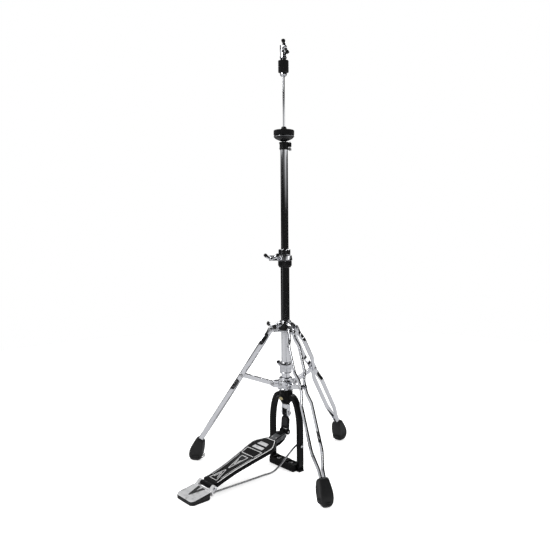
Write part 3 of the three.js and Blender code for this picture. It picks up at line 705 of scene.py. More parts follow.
def wing_loop(half, rise, u, grow=0.0):
    """One section through a wing: it widens outwards and closes at its end."""
    close = 0.84
    fade = 1 if abs(u) < close else math.sqrt(max(0.01, 1 - ((abs(u) - close) / (1.01 - close)) ** 2))
    wide = (3.2 + 1.5 * abs(u)) * fade + grow
    thick = (2.5 - 0.4 * abs(u)) * fade + grow
    heading = Vector((half, 2 * rise * u, 0)).normalized()
    aside = Vector((-heading.y, heading.x, 0))
    centre = Vector((half * u, rise * u * u, 0))
    turns = [2 * math.pi * k / 12 for k in range(12)]
    return [centre + aside * wide * math.cos(t) + UP * thick * math.sin(t) for t in turns]


def wing_parts(half, rise, boss, boss_length, shank, shank_length, place, tip_from=0.56, swell=0.7):
    """A wing bolt: wings along X with dipped tips, a turned boss and a threaded shank below."""
    steps = 18
    wings = [wing_loop(half, rise, 0.98 * (2 * i / steps - 1)) for i in range(steps + 1)]
    parts = [smoothed(lofted(wings, "chrome"), 1)]
    for side in (-1, 1):
        reach = [tip_from + (1 - tip_from) * i / 8 for i in range(9)]
        tip = [wing_loop(half - 0.3, rise, side * u, swell) for u in reach]
        parts.append(smoothed(lofted(tip, "tip"), 1))
    hub = [(0, 3.6), (boss * 0.55, 3.5), (boss * 0.92, 2.2), (boss, 0.6), (boss, 1.4 - boss_length)]
    hub += [(boss * 0.86, -boss_length), (0, -boss_length)]
    parts.append(turned(hub, "chrome", steps=40, edge=0.5))
    parts.append(threaded(shank, -boss_length - shank_length, -boss_length + 0.5))
    return [put(made, place) for made in parts]


def wing_place(joint, roll):
    """Where a wing bolt sits: its Z along the joint's axis, turned by roll about it."""
    row = JOINT_OF[joint]
    outward = Vector(row["axis"])
    sideways = UP.cross(outward)
    frame_axes = Matrix((-UP, sideways, outward)).transposed().to_4x4()
    frame_axes.translation = Vector(row["pos_m"])
    return frame_axes @ Matrix.Rotation(math.radians(roll), 4, "Z")


# ---------- clutch ----------


def build_clutch():
    """The clutch on the rod: body, felts, lock nut, bottom nut and wing bolt."""
    low = limits("clutch_body")[0]
    bore = limits("upper_pull_rod")[1].x + GAP
    sleeve = 4.6
    nut_low, nut_high = limits("clutch_lock_nut")
    flange = nut_high.z + GAP
    top = 1058  # the body's upper face
    grooves = []
    z = flange - GAP
    while z > low.z + 1:
        grooves += [(sleeve, z), (sleeve - 0.35, z - 0.6)]
        z -= 1.2
    outline = [(bore, top), (7.2, top), (8.4, top - 1.6), (8.4, top - 14.5), (7.4, top - 17)]
    outline += [(7.4, flange + 6), (8.6, flange + 4), (8.6, flange)]
    outline += [*grooves, (sleeve, low.z), (bore, low.z)]
    boss = turned([(0, 14), (4.6, 14), (5.5, 13), (5.5, 4), (0, 4)], "chrome", steps=40)
    height = JOINT_OF["clutch_wing_turn"]["pos_m"][2] / MM
    put(boss, toward((0, 0, height), JOINT_OF["clutch_wing_turn"]["axis"]))
    piece([turned(outline, "chrome", edge=0.35), boss], "clutch_body")

    nut = hex_head(nut_high.x, nut_low.z, nut_high.z - 0.2, "chrome")
    piece([nut], "clutch_lock_nut")
    build_felt("clutch_upper_felt", sleeve + GAP, 1.1, 0.3, proud_below=0.8)
    build_felt("clutch_lower_felt", sleeve + GAP, 1.1, 0.3, proud_above=0.8)
    end_low, end_high = limits("clutch_bottom_nut")
    radius = end_high.x
    cap = turned([
        (sleeve + GAP, end_high.z), (radius - 1, end_high.z), (radius, end_high.z - 1.4),
        (radius, end_low.z + 2.4), (radius - 0.6, end_low.z + 1.6), (radius - 2.2, end_low.z),
        (sleeve + GAP, end_low.z),
    ], "chrome")
    piece([cap], "clutch_bottom_nut")
    wings = wing_parts(18.6, 1.5, 4.6, 5, 2.4, 10.5, wing_place("clutch_wing_turn", 20))
    piece(wings, "clutch_wing_bolt")


def build_felt(node, bore, corner, sag, proud_above=0.0, proud_below=0.0):
    """A felt washer: soft corners, a slight waist and a nap that wanders."""
    low, high = limits(node)
    low.z -= proud_below
    high.z += proud_above
    radius = (high.x - low.x) / 2 - 0.15
    middle = (low.z + high.z) / 2
    shoulder, drop = radius - 0.3 * corner, 0.45 * corner
    outline = [(bore + 0.2, high.z), (radius - corner, high.z - 0.1), (shoulder, high.z - drop)]
    outline += [(radius, high.z - 1.2 * corner), (radius - sag, middle), (radius, low.z + 1.2 * corner)]
    outline += [(shoulder, low.z + drop), (radius - corner, low.z + 0.1), (bore + 0.2, low.z)]
    made = turned(outline, "felt", edge=0.3)
    modify(made, "SUBSURF", levels=1, render_levels=1)
    nap = bpy.data.textures.new(f"{node}_nap", "CLOUDS")
    nap.noise_scale = 2.2 * MM
    nap.noise_depth = 2
    modify(made, "DISPLACE", texture=nap, strength=sizes().felt_nap, mid_level=0.55, texture_coords="LOCAL")
    return piece([made], node)


# ---------- cymbal seat ----------


def build_seat():
    """The cymbal seat: cup, felt, sleeve, tilter and its screw."""
    low, high = limits("seat_sleeve")
    top = limits("seat_felt")[1].z
    bore = 4.6
    sleeve = turned([
        (bore, high.z), (5.4, high.z), (7.3, top + 2.9), (8.1, top + 1.2), (8.2, top + GAP),
        (6.8, top + GAP), (6.8, low.z), (bore + 0.4, low.z), (bore, top - 2),
    ], "nylon", edge=0.3)
    piece([sleeve], "seat_sleeve")
    build_felt("seat_felt", 7.1, 2.4, 0.3)
    low, high = limits("seat_cup")
    radius = high.x
    cup = turned([
        (5, high.z), (radius - 0.8, high.z), (radius, high.z - 0.9), (radius, high.z - 2.6),
        (radius - 0.9, high.z - 3.4), (radius - 3.2, high.z - 6), (radius - 7.4, high.z - 8.6),
        (13, low.z + 2.6), (8, low.z + 0.6), (6.4, low.z), (5, low.z),
    ], "nylon", edge=0.6)
    edge_ring = turned([
        (radius - 0.6, high.z - 1.2), (radius + 0.35, high.z - 1.5), (radius + 0.35, high.z - 2.3),
        (radius - 0.6, high.z - 2.6),
    ], "casting", edge=0.2)
    piece([cup, edge_ring], "seat_cup")

    end = limits("upper_tube")[1].z
    tube = limits("upper_tube")[1].x + GAP
    base = turned([
        (4.6, end + 1.2), (12.2, end + 1.2), (12.2, end - 1), (11.1, end - 3.4), (11.1, end - 16.6),
        (10.6, end - 17.5), (tube, end - 17.5), (tube, end + GAP), (4.6, end + GAP),
    ], "nylon", edge=0.5)
    collar = turned([
        (tube + 0.4, end - 12.4), (11.7, end - 12.7), (11.7, end - 14.6), (tube + 0.4, end - 14.9),
    ], "nylon", edge=0.3)
    row = JOINT_OF["tilt_screw_turn"]
    x, y, _ = Vector(row["pos_m"]) / MM
    out = Vector((x, y, 0))
    turn = Matrix.Rotation(math.atan2(y, x), 4, "Z")
    outline = rounded_outline((9.9, out.length + 3.7), (-3.6, 3.6), 2.6)
    ear = put(rounded(prism(outline, end - 10, end, "nylon"), 0.6), turn)
    piece([base, collar, ear], "tilter_base")

    low, high = limits("tilt_screw")
    knob = fluted(3.6, 0.5, 14, low.z, low.z + 6.5, 0.6, "zinc")
    shank = threaded(1.6, low.z + 3, high.z, pitch=0.8)
    cap = dome(2.6, low.z + 6.3, low.z + 7)
    piece([put(made, moved(x, y, 0)) for made in (knob, shank, cap)], "tilt_screw")


# ---------- column ----------


def build_column():
    """The two tubes and the two lengths of the pull rod."""
    wall = sizes().tube_wall / MM
    for node in ("upper_tube", "lower_tube"):
        low, high = limits(node)
        radius = high.x
        tube = turned([
            (radius - wall, high.z), (radius, high.z), (radius, low.z), (radius - wall, low.z),
        ], "chrome", steps=96, edge=0.35)
        piece([tube], node)
    low, high = limits("upper_pull_rod")
    radius = high.x
    upper = turned([
        (0, high.z), (radius - 0.7, high.z), (radius, high.z - 0.8), (radius, low.z + 0.5),
        (radius - 0.4, low.z), (0, low.z),
    ], "chrome", steps=48, edge=0.25)
    piece([upper], "upper_pull_rod")
    low, high = limits("lower_pull_rod")
    radius = high.x
    lower = turned([
        (0, high.z), (radius - 0.5, high.z), (radius, high.z - 0.8), (radius, high.z - 22),
        (radius - 0.6, high.z - 23), (radius - 0.6, high.z - 26), (radius, high.z - 27),
        (radius, low.z + 0.6), (radius - 0.6, low.z), (0, low.z),
    ], "zinc", steps=40, edge=0.25)
    piece([lower], "lower_pull_rod")


# ---------- height clamp ----------


def build_height_clamp():
    """The bush and split clamp on the lower tube, the lock collar and the wing nut."""
    low, high = limits("height_bush")
    tube = limits("lower_tube")[1].x + GAP
    neck = limits("upper_tube")[1].x + GAP
    clamp_low, clamp_high = limits("height_clamp")
    skirt = high.x
    rim = fluted(skirt, 1.1, 18, low.z + 3.4, clamp_low.z - GAP, tube + 0.1, "nylon")
    lip = turned([
        (tube, low.z + 3.6), (skirt - 2.3, low.z + 3.6), (skirt - 2.3, low.z + 1), (skirt - 3, low.z),
        (tube, low.z),
    ], "nylon")
    sleeve = turned([
        (neck, high.z), (15.6, high.z), (15.6, clamp_low.z - 1), (tube, clamp_low.z - 1),
        (tube, clamp_high.z - 4.4), (neck, clamp_high.z - 4.4),
    ], "nylon")
    piece([rim, lip, sleeve], "height_bush")

    # The clamp: an open band that runs into two ears, with its bolt across them
    row = JOINT_OF["height_wing_turn"]
    axis = Vector(row["axis"])
    turn = Matrix.Rotation(math.atan2(axis.x, -axis.y), 4, "Z")
    outer, inner, slot = 18.6, 15.9, 2.2
    opening = math.degrees(math.asin(slot / inner))
    ear_end, ear_half = -39.5, 6.2
    band_outline = arc((0, 0), inner, 180 - opening, -180 + opening, 56)
    outline = [(ear_end + 2, -slot), *reversed(band_outline), (ear_end + 2, slot), (ear_end, slot + 2)]
    outline += [(ear_end, ear_half - 1), (ear_end + 1.5, ear_half), (-21, ear_half), (-18, 8)]
    outline += arc((0, 0), outer, 150, -150, 48)
    outline += [(-18, -8), (-21, -ear_half), (ear_end + 1.5, -ear_half), (ear_end, -ear_half + 1)]
    outline += [(ear_end, -slot - 2)]
    drawn_in = 0.93  # the band narrows upwards
    crown = [(x * drawn_in, y * drawn_in) if 17 < math.hypot(x, y) < 19 else (x, y) for x, y in outline]
    levels = [(outline, clamp_low.z), (outline, clamp_low.z + 2.6), (crown, clamp_high.z)]
    band = rounded(lofted([[(x, y, z) for x, y in ring] for ring, z in levels], "chrome"), 0.8, 3, 40)
    across = toward((-33, ear_half + 0.1, row["pos_m"][2] / MM), (0, 1, 0))
    head = put(hex_head(5, 0, 3.2), across)
    put(band, turn)
    put(head, turn @ across)
    piece([band, head], "height_clamp")

    low, high = limits("memory_lock")
    parts = [turned([
        (neck, high.z), (13.2, high.z), (14, high.z - 0.9), (14, low.z + 0.9), (13.2, low.z), (neck, low.z),
    ], "chrome")]
    for angle in (190, 350):
        centre = spoke(angle) * 12.6
        lobe = turned([
            (2.1, high.z - 0.2), (4.6, high.z - 0.2), (6.1, high.z - 1.8), (6.1, low.z + 1.8),
            (4.6, low.z + 0.2), (2.1, low.z + 0.2),
        ], "chrome", steps=40)
        ends = low.z + 1, high.z - 1.4
        screw = turned([(0, ends[1]), (1.9, ends[1]), (1.9, ends[0]), (0, ends[0])], "zinc", 24)
        parts += [put(lobe, moved(*centre)), put(screw, moved(*centre))]
    key = put(hex_head(3, 13.5, 17.4), toward((0, 0, (low.z + high.z) / 2), spoke(90)))
    piece([*parts, key], "memory_lock")

    boss_length = 13.5
    seat = moved(-33, -ear_half - GAP - boss_length, row["pos_m"][2] / MM)
    gull = turn @ stood(seat)
    piece(wing_parts(18.3, 11.5, 5, boss_length, 2.9, 14, gull, 0.66, 0.25), "height_wing_nut")


# ---------- tripod ----------


def ramp(u, ease=0.2):
    """A straight run from 0 to 1 with a short bend at each end."""
    if u < ease:
        return u * u / (2 * ease * (1 - ease))
    if u > 1 - ease:
        return 1 - ramp(1 - u, ease)
    return (u - ease / 2) / (1 - ease)


def spread(distance):
    """Half the spacing of a leg's two strips at a distance from the hub's pivot."""
    stops = [(-9, STRIP_NARROW), (16, STRIP_NARROW), (40, STRIP_WIDE), (104, STRIP_WIDE),
             (130, STRIP_NARROW), (156, STRIP_NARROW), (186, STRIP_WIDE), (290, STRIP_WIDE),
             (340, STRIP_NARROW - 1.6), (LEG_END, STRIP_NARROW - 2.4)]
    for (start, first), (end, second) in zip(stops, stops[1:]):
        if start <= distance <= end:
            u = (distance - start) / (end - start)
            return first + (second - first) * ramp(u)
    return stops[-1][1]


def leg_place(number):
    """A leg's place: X down along the leg, Y round the column, Z out of the leg's upper side."""
    row = JOINT_OF[f"leg_{number}_fold"]
    tangent = Vector(row["axis"])
    radial = tangent.cross(UP)
    along = radial * math.sin(LEG_TILT) - UP * math.cos(LEG_TILT)
    place = Matrix((along, tangent, along.cross(tangent))).transposed().to_4x4()
    place.translation = Vector(row["pos_m"])
    return place


def build_strip(number, side, name):
    """A pressed chrome strip: flat inside, rounded outside, with rounded ends."""
    start, end = -9 + 0.4, LEG_END
    count = 76
    loops = []
    for i in range(count + 1):
        s = start + (end - start) * i / count
        from_end = min(s - start, end - s)
        round_end = STRIP_WIDTH / 2
        squeeze = 1 if from_end > round_end else math.sqrt(max(0.06, 1 - (1 - from_end / round_end) ** 2))
        slope = (spread(min(s + 1, end)) - spread(max(s - 1, start))) / 2
        aside = Vector((-slope * side, 1, 0)).normalized()
        centre = Vector((s, side * spread(s), 0))
        half = STRIP_WIDTH / 2 * squeeze
        inner, outer = -side * STRIP_THICK / 2, side * STRIP_THICK / 2
        crown = [(outer * 0.35, half), (outer * 0.8, half * 0.84), (outer, half * 0.55)]
        section = [(inner, -half), (inner, half), *crown, *[(a, -z) for a, z in reversed(crown)]]
        loops.append([centre + aside * a + UP * z for a, z in section])
    strip = rounded(lofted(loops, "chrome"), 0.5, 2, 30)
    face = STRIP_NARROW + STRIP_THICK / 2 - 0.3
    rivet = put(dome(4.4, 0, 2.1), toward((LEG_TO_BRACE, side * face, 0), (0, side, 0)))
    made = joined([strip, rivet])
    put(made, leg_place(number))
    piece([made], name)


def build_legs():
    """Three legs of two strips each, and their pivot bolts."""
    half = STRIP_NARROW + STRIP_THICK / 2
    for number in (1, 2, 3):
        build_strip(number, 1, f"leg_{number}_strip_left")
        build_strip(number, -1, f"leg_{number}_strip_right")
        parts = [put(rod(2.8, -half - 1, half + 1), toward((0, 0, 0), (0, 1, 0)))]
        for side in (-1, 1):
            outward = toward((0, side * half, 0), (0, side, 0))
            washer = turned([(0, 1.1), (4.6, 1.1), (4.6, GAP), (0, GAP)], "zinc", 32, 0.2)
            top = hex_head(4.1, 1, 3.1) if side > 0 else dome(3.6, 1, 3.1)
            parts += [put(washer, outward), put(top, outward)]
        bolt = joined(parts)
        put(bolt, leg_place(number))
        piece([bolt], f"leg_{number}_pivot_bolt")


def build_braces():
    """Folded steel braces: two cheeks with round ends and a top web between them."""
    for number in (1, 2, 3):
        row = JOINT_OF[f"brace_{number}_fold"]
        pivot = Vector(row["pos_m"])
        meets = leg_place(number) @ (Vector((LEG_TO_BRACE, 0, 0)) * MM)
        along = (meets - pivot).normalized()
        tangent = -Vector(row["axis"])
        place = Matrix((along, tangent, along.cross(tangent))).transposed().to_4x4()
        place.translation = pivot
        length = (meets - pivot).length / MM
        parts = []
        for side in (-1, 1):
            outline = [*arc((0, 0), 6, 90, 270, 10), (14, -5.4), (length - 14, -5.4)]
            outline += [*arc((length, 0), 6, -90, 90, 10), (length - 14, 5.4), (14, 5.4)]
            cheek = rounded(slab(outline, side, 2.5, 4, "chrome"), 0.45)
            parts.append(put(cheek, stood()))
        web = brick((13, length - 13), (-4, 4), (4, 5.5), "chrome")
        parts.append(rounded(web, 0.7))
        for x in (0.36 * length, 0.64 * length):
            parts.append(put(dome(1.9, 5.3, 6.1, "chrome"), moved(x, 0, 0)))
        spacer = put(rod(3.4, -2.6, 2.6), toward((length - 16, 0, 0), (0, 1, 0)))
        brace = joined([*parts, spacer])
        put(brace, place)
        piece([brace], f"brace_{number}")

        pin = [put(rod(2.6, -9, 9), toward((0, 0, 0), (0, 1, 0)))]
        pin.append(put(hex_head(4.4, 7.9, 10.4), toward((0, 0, 0), (0, 1, 0))))
        pin.append(put(dome(4.2, 7.9, 10.4), toward((0, 0, 0), (0, -1, 0))))
        bolt = joined(pin)
        put(bolt, place)
        piece([bolt], f"brace_{number}_pivot_bolt")


def build_feet():
    """Rubber shoes: boxy blocks, narrow where the strips go in, with lines round the sole."""
    outline = [(219.5, 50.5), (222, 55.5), (233.5, 62.3), (239.5, 61), (246.5, 50.5), (253, 40)]
    outline += [(258, 29.5), (259.8, 20), (259.8, 10), (255.5, 2), (249, 0), (236, 0)]
    outline += [(230, 2.5), (225.5, 13), (222.5, 25), (220.3, 39)]
    waist = [(0, 0.70), (6, 0.88), (22, 1.0), (42, 0.96), (63, 0.78)]
    middle = Vector((240, 30))
    half = 15.5
    slices = [(-1, 0.74), (-0.98, 0.86), (-0.86, 0.95), (-0.5, 0.99), (0, 1), (0.5, 0.99), (0.86, 0.95),
              (0.98, 0.86), (1, 0.74)]

    def width(z):
        """The shoe's share of its full width at a height."""
        for (low, first), (high, second) in zip(waist, waist[1:]):
            if z <= high:
                return first + (second - first) * max(0, z - low) / (high - low)
        return waist[-1][1]

    for number in (1, 2, 3):
        radial = Vector(JOINT_OF[f"leg_{number}_fold"]["axis"]).cross(UP)
        loops = []
        for share, size in slices:
            loop = []
            for x, z in outline:
                height = middle.y + (z - middle.y) * size
                loop.append((middle.x + (x - middle.x) * size, half * share * width(z), height))
            loops.append(loop)
        parts = [rounded(lofted(loops, "rubber"), 2.2, 4, 28)]
        for level, reach in ((9.5, 0.96), (14.5, 0.985)):
            flank = [(222.8, 9), (231, 14.6), (250, 14.6), (259.2, 9)]
            ridge = [(222.8, -9), *flank, *[(x, -y) for x, y in reversed(flank[1:])]]
            points = [(middle.x + (x - middle.x) * reach, y * reach, level) for x, y in ridge]
            parts.append(wire(points, 0.9, "rubber", cyclic=True))
        foot = joined(parts)
        put(foot, Matrix.Rotation(math.atan2(radial.y, radial.x), 4, "Z"))
        piece([foot], f"leg_{number}_foot")


def clevis(outline, faces, number, look="casting", width=0.9):
    """A plate that stands out from the column towards one leg."""
    radial = Vector(JOINT_OF[f"leg_{number}_fold"]["axis"]).cross(UP)
    turn = Matrix.Rotation(math.atan2(radial.y, radial.x), 4, "Z")
    return put(rounded(prism(outline, faces[0], faces[1], look), width, 3, 25), stood(turn))


def build_hubs():
    """The upper and lower hub, the clamp collar and their wing bolts."""
    tube = limits("lower_tube")[1].x + GAP
    x, y, z = Vector(JOINT_OF["leg_1_fold"]["pos_m"]) / MM
    reach = math.hypot(x, y)
    body = turned([
        (tube, 378), (13.4, 378), (14.3, 377.2), (14.3, 374.6), (16.5, 372.6), (16.5, 366), (15.4, 365),
        (15.4, 357), (16.5, 356), (16.5, 351), (15, 349), (tube, 349),
    ], "casting", edge=0.5)
    # A black nylon band round the hub's waist: a guessed bush whose dark colour is a painted reflection, the
    # dark band across the hub's front
    bush = turned([(tube, 370.5), (16.9, 370.5), (16.9, 355), (tube, 355)], "nylon", edge=0.8)
    parts = [body, bush]
    for number in (1, 2, 3):
        knuckle = arc((reach, z), 6.5, -80, 80, 8)
        outline = [(12, 350), (30, z - 5.6), *knuckle, (28, 369), (20, 371.5), (12, 371)]
        parts.append(clevis(outline, (-4, 4), number))
        web = [(13, 349.6), (29, z - 6.4), (29, z - 3.4), (13, 354)]
        parts.append(clevis(web, (-6.4, 6.4), number))
        rib = [(14, 375), (20, 373), (27, 369.6), (27, 367), (14, 369)]
        parts.append(clevis(rib, (-1.6, 1.6), number, width=0.5))
    wing = JOINT_OF["hub_wing_turn"]
    height = wing["pos_m"][2] / MM
    boss = turned([(3.2, 25), (5.6, 25), (6.5, 24), (6.5, 13), (3.2, 13)], "casting", steps=40)
    parts.append(put(boss, toward((0, 0, height), wing["axis"])))
    piece(parts, "upper_hub")
    wings = wing_parts(19.6, 3, 4.6, 15, 2.8, 12, wing_place("hub_wing_turn", 80), 0.5, 1.5)
    piece(wings, "hub_wing_bolt")

    low, high = limits("lower_hub")
    x, y, z = Vector(JOINT_OF["brace_1_fold"]["pos_m"]) / MM
    reach = math.hypot(x, y)
    body = turned([
        (tube, high.z), (16, high.z), (17, high.z - 0.9), (17, high.z - 5), (18.6, high.z - 6),
        (21, high.z - 8), (21, low.z + 9), (20, low.z + 8), (20, low.z + 3.4), (21, low.z + 2.4),
        (20, low.z), (tube, low.z),
    ], "casting", edge=0.5)
    parts = [body]
    for number in (1, 2, 3):
        outline = [(16, low.z + 3), (reach - 2, low.z + 3.6), *arc((reach, z), 6.4, -60, 60, 7)]
        outline += [(reach - 3, z + 8), (16, z + 9)]
        for side in (-1, 1):
            faces = sorted((side * 4.3, side * 7.6))
            parts.append(clevis(outline, faces, number))
            rib_faces = sorted((side * 6.2, side * 8.8))
            rib = [(17, z - 1.4), (reach - 7, z - 1.4), (reach - 7, z + 1.4), (17, z + 1.4)]
            parts.append(clevis(rib, rib_faces, number, width=0.5))
    for angle in (40, 160, 280):
        screw = put(hex_head(3.4, 19.6, 22.6, "zinc"), toward((0, 0, z + 2), spoke(angle)))
        parts.append(screw)
    piece(parts, "lower_hub")

    low, high = limits("tripod_clamp")
    wing = JOINT_OF["tripod_wing_turn"]
    collar = turned([
        (tube, high.z), (13.6, high.z), (14.6, high.z - 1.4), (15.5, high.z - 7), (15.5, low.z + 4.6),
        (14.8, low.z + 4), (14.8, low.z + 2.4), (15.5, low.z + 1.8), (15.5, low.z + 0.6), (14.9, low.z),
        (tube, low.z),
    ], "casting")
    boss = turned([(3, 25), (5.4, 25), (6.5, 23.8), (6.5, 13), (3, 13)], "casting", steps=40)
    put(boss, toward((0, 0, wing["pos_m"][2] / MM), wing["axis"]))
    piece([collar, boss], "tripod_clamp")
    wings = wing_parts(10, 8.5, 4.2, 5, 2.6, 12, wing_place("tripod_wing_turn", 113), 0.6, 0.8)
    piece(wings, "tripod_wing_bolt")


# ---------- pull frame ----------


def build_frame_block():
    """The block at the column's foot, with its bolts and plain oval badge."""
    low, high = limits("frame_block")
    tube = limits("lower_tube")[1].x + GAP
    seat = limits("lower_tube")[0].z - GAP
    radius = 16
    core = turned([
        (tube, high.z), (13.4, high.z), (radius, high.z - 2.4), (radius, high.z - 9), (15.2, high.z - 10),
        (15.2, high.z - 12), (radius, high.z - 13), (radius, low.z + 12), (14.6, low.z + 7.6),
        (10.9, low.z + 1), (9.6, low.z), (5.2, low.z), (5.2, seat), (tube, seat),
    ], "coat", edge=0.6)
    flanks = prism(rounded_outline((-18.5, 18.5), (-9, 9), 4), low.z + 7, high.z - 5.7, "coat")
    parts = [core, rounded(flanks, 1.2)]
    for side in (-1, 1):
        bolt = put(hex_head(4.2, 13.4, 17), toward((side * 4.4, 0, high.z - 9), (0, 1, 0)))
        parts.append(bolt)
        pad = rounded(prism(arc((0, 0), 7, 0, 345, 23), 17.6, 18.7, "coat"), 0.4)
        parts.append(put(pad, toward((0, 0, low.z + 22), (side, 0, 0))))
    piece(parts, "frame_block")

    # A plain oval badge on the side that faces the player
    badge = oval(9.2, 5.4, 40)
    place = toward((0, -14.9, low.z + 15.5), (0, -1, -0.06))
    plate = rounded(prism(badge, 0, 1.9, "coat"), 0.5)
    inner = [(x * 0.80, y * 0.74) for x, y in badge]
    face = rounded(prism(inner, 1, 2.3, "brass"), 0.3)
    piece([put(plate, place), put(face, place)], "frame_block", "block_badge", replaces=False)


def build_arms():
    """Cast arms: a bowed bar of rounded section with a rib on its outer face."""
    knots = [(18.8, 186.5), (27, 184.5), (36, 176), (43.5, 159), (48.5, 138), (51, 116), (51.5, 92)]
    bowed = flowing(knots, 4)
    line = [*bowed, *[Vector((51.5, 92 - 92 * i / 6)) for i in range(1, 7)]]
    ways = headings(line)
    rod_height = JOINT_OF["pedal_press"]["pos_m"][2] / MM + 44
    for node, side in (("frame_arm_right", 1), ("frame_arm_left", -1)):
        loops = []
        for i, (point, way) in enumerate(zip(line, ways)):
            aside = Vector((way.y, -way.x))
            if i in (0, len(line) - 1):
                aside = Vector((0, 1)) if i == 0 else Vector((1, 0))
            half = 5 + 2 * max(0, 0.3 - i / len(line))
            deep = 7.5
            corners = [(-half, -deep), (half, -deep), (half, deep), (-half, deep)]
            loops.append([(point.x + aside.x * a, d, point.y + aside.y * a) for a, d in corners])
        bar = rounded(lofted(loops, "coat"), 2.0, 4, 50)
        rib_loops = []
        for point, way in zip(line[3:-3], ways[3:-3]):
            aside = Vector((way.y, -way.x))
            out = aside if aside.x > 0 or aside.y > 0 else -aside
            base, crest = 4.4, 5.9
            corners = [(base, -2.2), (crest, -1.2), (crest, 1.2), (base, 2.2)]
            rib_loops.append([(point.x + out.x * a, d, point.y + out.y * a) for a, d in corners])
        rib = rounded(lofted(rib_loops, "coat"), 0.5, 2, 50)
        foot = rounded(brick((45.6, 57.4), (-8.4, 8.4), (0.1, 3.6), "rubber"), 0.9)
        collar = put(turned([(2.9, 6.6), (5.4, 6.6), (6.2, 5.6), (6.2, 4.6), (2.9, 4.6)], "coat", 40),
                     toward((51.5, 0, rod_height), (1, 0, 0)))
        made = joined([bar, rib, foot, collar])
        put(made, Matrix.Rotation(0 if side > 0 else math.pi, 4, "Z"))
        piece([made], node)


def build_base():
    """The base bar: a cast bed with two waists, ribs, and a spur screw in each waist."""
    low, high = limits("base_bar")
    bed_outline = rounded_outline((low.x, high.x), (low.y, high.y), 2.5)
    bed = rounded(prism(bed_outline, 2, 10.6, "coat"), 1.3)
    middle = -5.5
    sole_outline = [(x * 0.985, middle + (y - middle) * 0.95) for x, y in bed_outline]
    sole = rounded(prism(sole_outline, 0, 2.4, "rubber"), 0.6)
    parts = [bed, sole]
    depth = (low.y + 0.4, high.y - 0.4)
    for x in ((-11.6, 11.6), (34.4, high.x), (low.x, -34.4)):
        parts.append(rounded(prism(rounded_outline(x, depth, 2.4), 9, high.z, "coat"), 1.6, 4))
    for side in (-1, 1):
        span = sorted((side * 11, side * 35))
        parts.append(rounded(brick(span, (low.y + 0.4, -14.2), (9, high.z - 1), "coat"), 1.2))
        parts.append(rounded(brick(span, (4.2, high.y - 0.4), (9, high.z - 1), "coat"), 1.2))
    for x in (-7.5, -2.5, 2.5, 7.5):
        rib = brick((x - 0.9, x + 0.9), (low.y + 3, high.y - 3), (high.z - 1, high.z), "coat")
        parts.append(rounded(rib, 0.4))
    piece(parts, "base_bar")
    spurs = []
    for side in (-1, 1):
        head = fluted(6.3, 0.9, 12, 11.6, 16.6, 2.6, "zinc")
        cap = turned([(0, 17.6), (2.2, 17.5), (4.4, 16.9), (4.6, 15.6), (0, 15.6)], "coat", 40, 0.3)
        shank = threaded(2.7, 1.5, 15.5)
        spurs += [put(made, moved(side * 22, -5, 0)) for made in (head, cap, shank)]
    piece(spurs, "base_bar", "base_spur_screws", replaces=False)


def build_radius_rods():
    """The two rods between the heel and the frame."""
    height = limits("radius_rod_right")[1].z - 2.4
    route = [
        (28, -254.2, 13), (31, -200, 13.5), (36, -110, 15), (38.2, -78, 16.5), (38.8, -66, 21.5),
        (40.2, -30, height - 19), (41, -8, height - 3.5), (42, -2, height - 0.3), (45, 0, height),
        (51.5, 0, height), (58.2, 0, height),
    ]
    for node, side in (("radius_rod_right", 1), ("radius_rod_left", -1)):
        points = [(side * x, y, z) for x, y, z in route]
        bent = wire(points, 2.35, "zinc")
        button = put(dome(3.6, 0, 1.9, "chrome"), toward((side * 57.6, 0, height), (side, 0, 0)))
        ferrule = put(turned([(2.3, 7), (3.6, 7), (3.6, 0), (2.3, 0)], "zinc", 32),
                      toward((side * 28, -254, 13), (side * 0.05, 1, 0.01)))
        piece([bent, button, ferrule], node)


# ---------- drive ----------


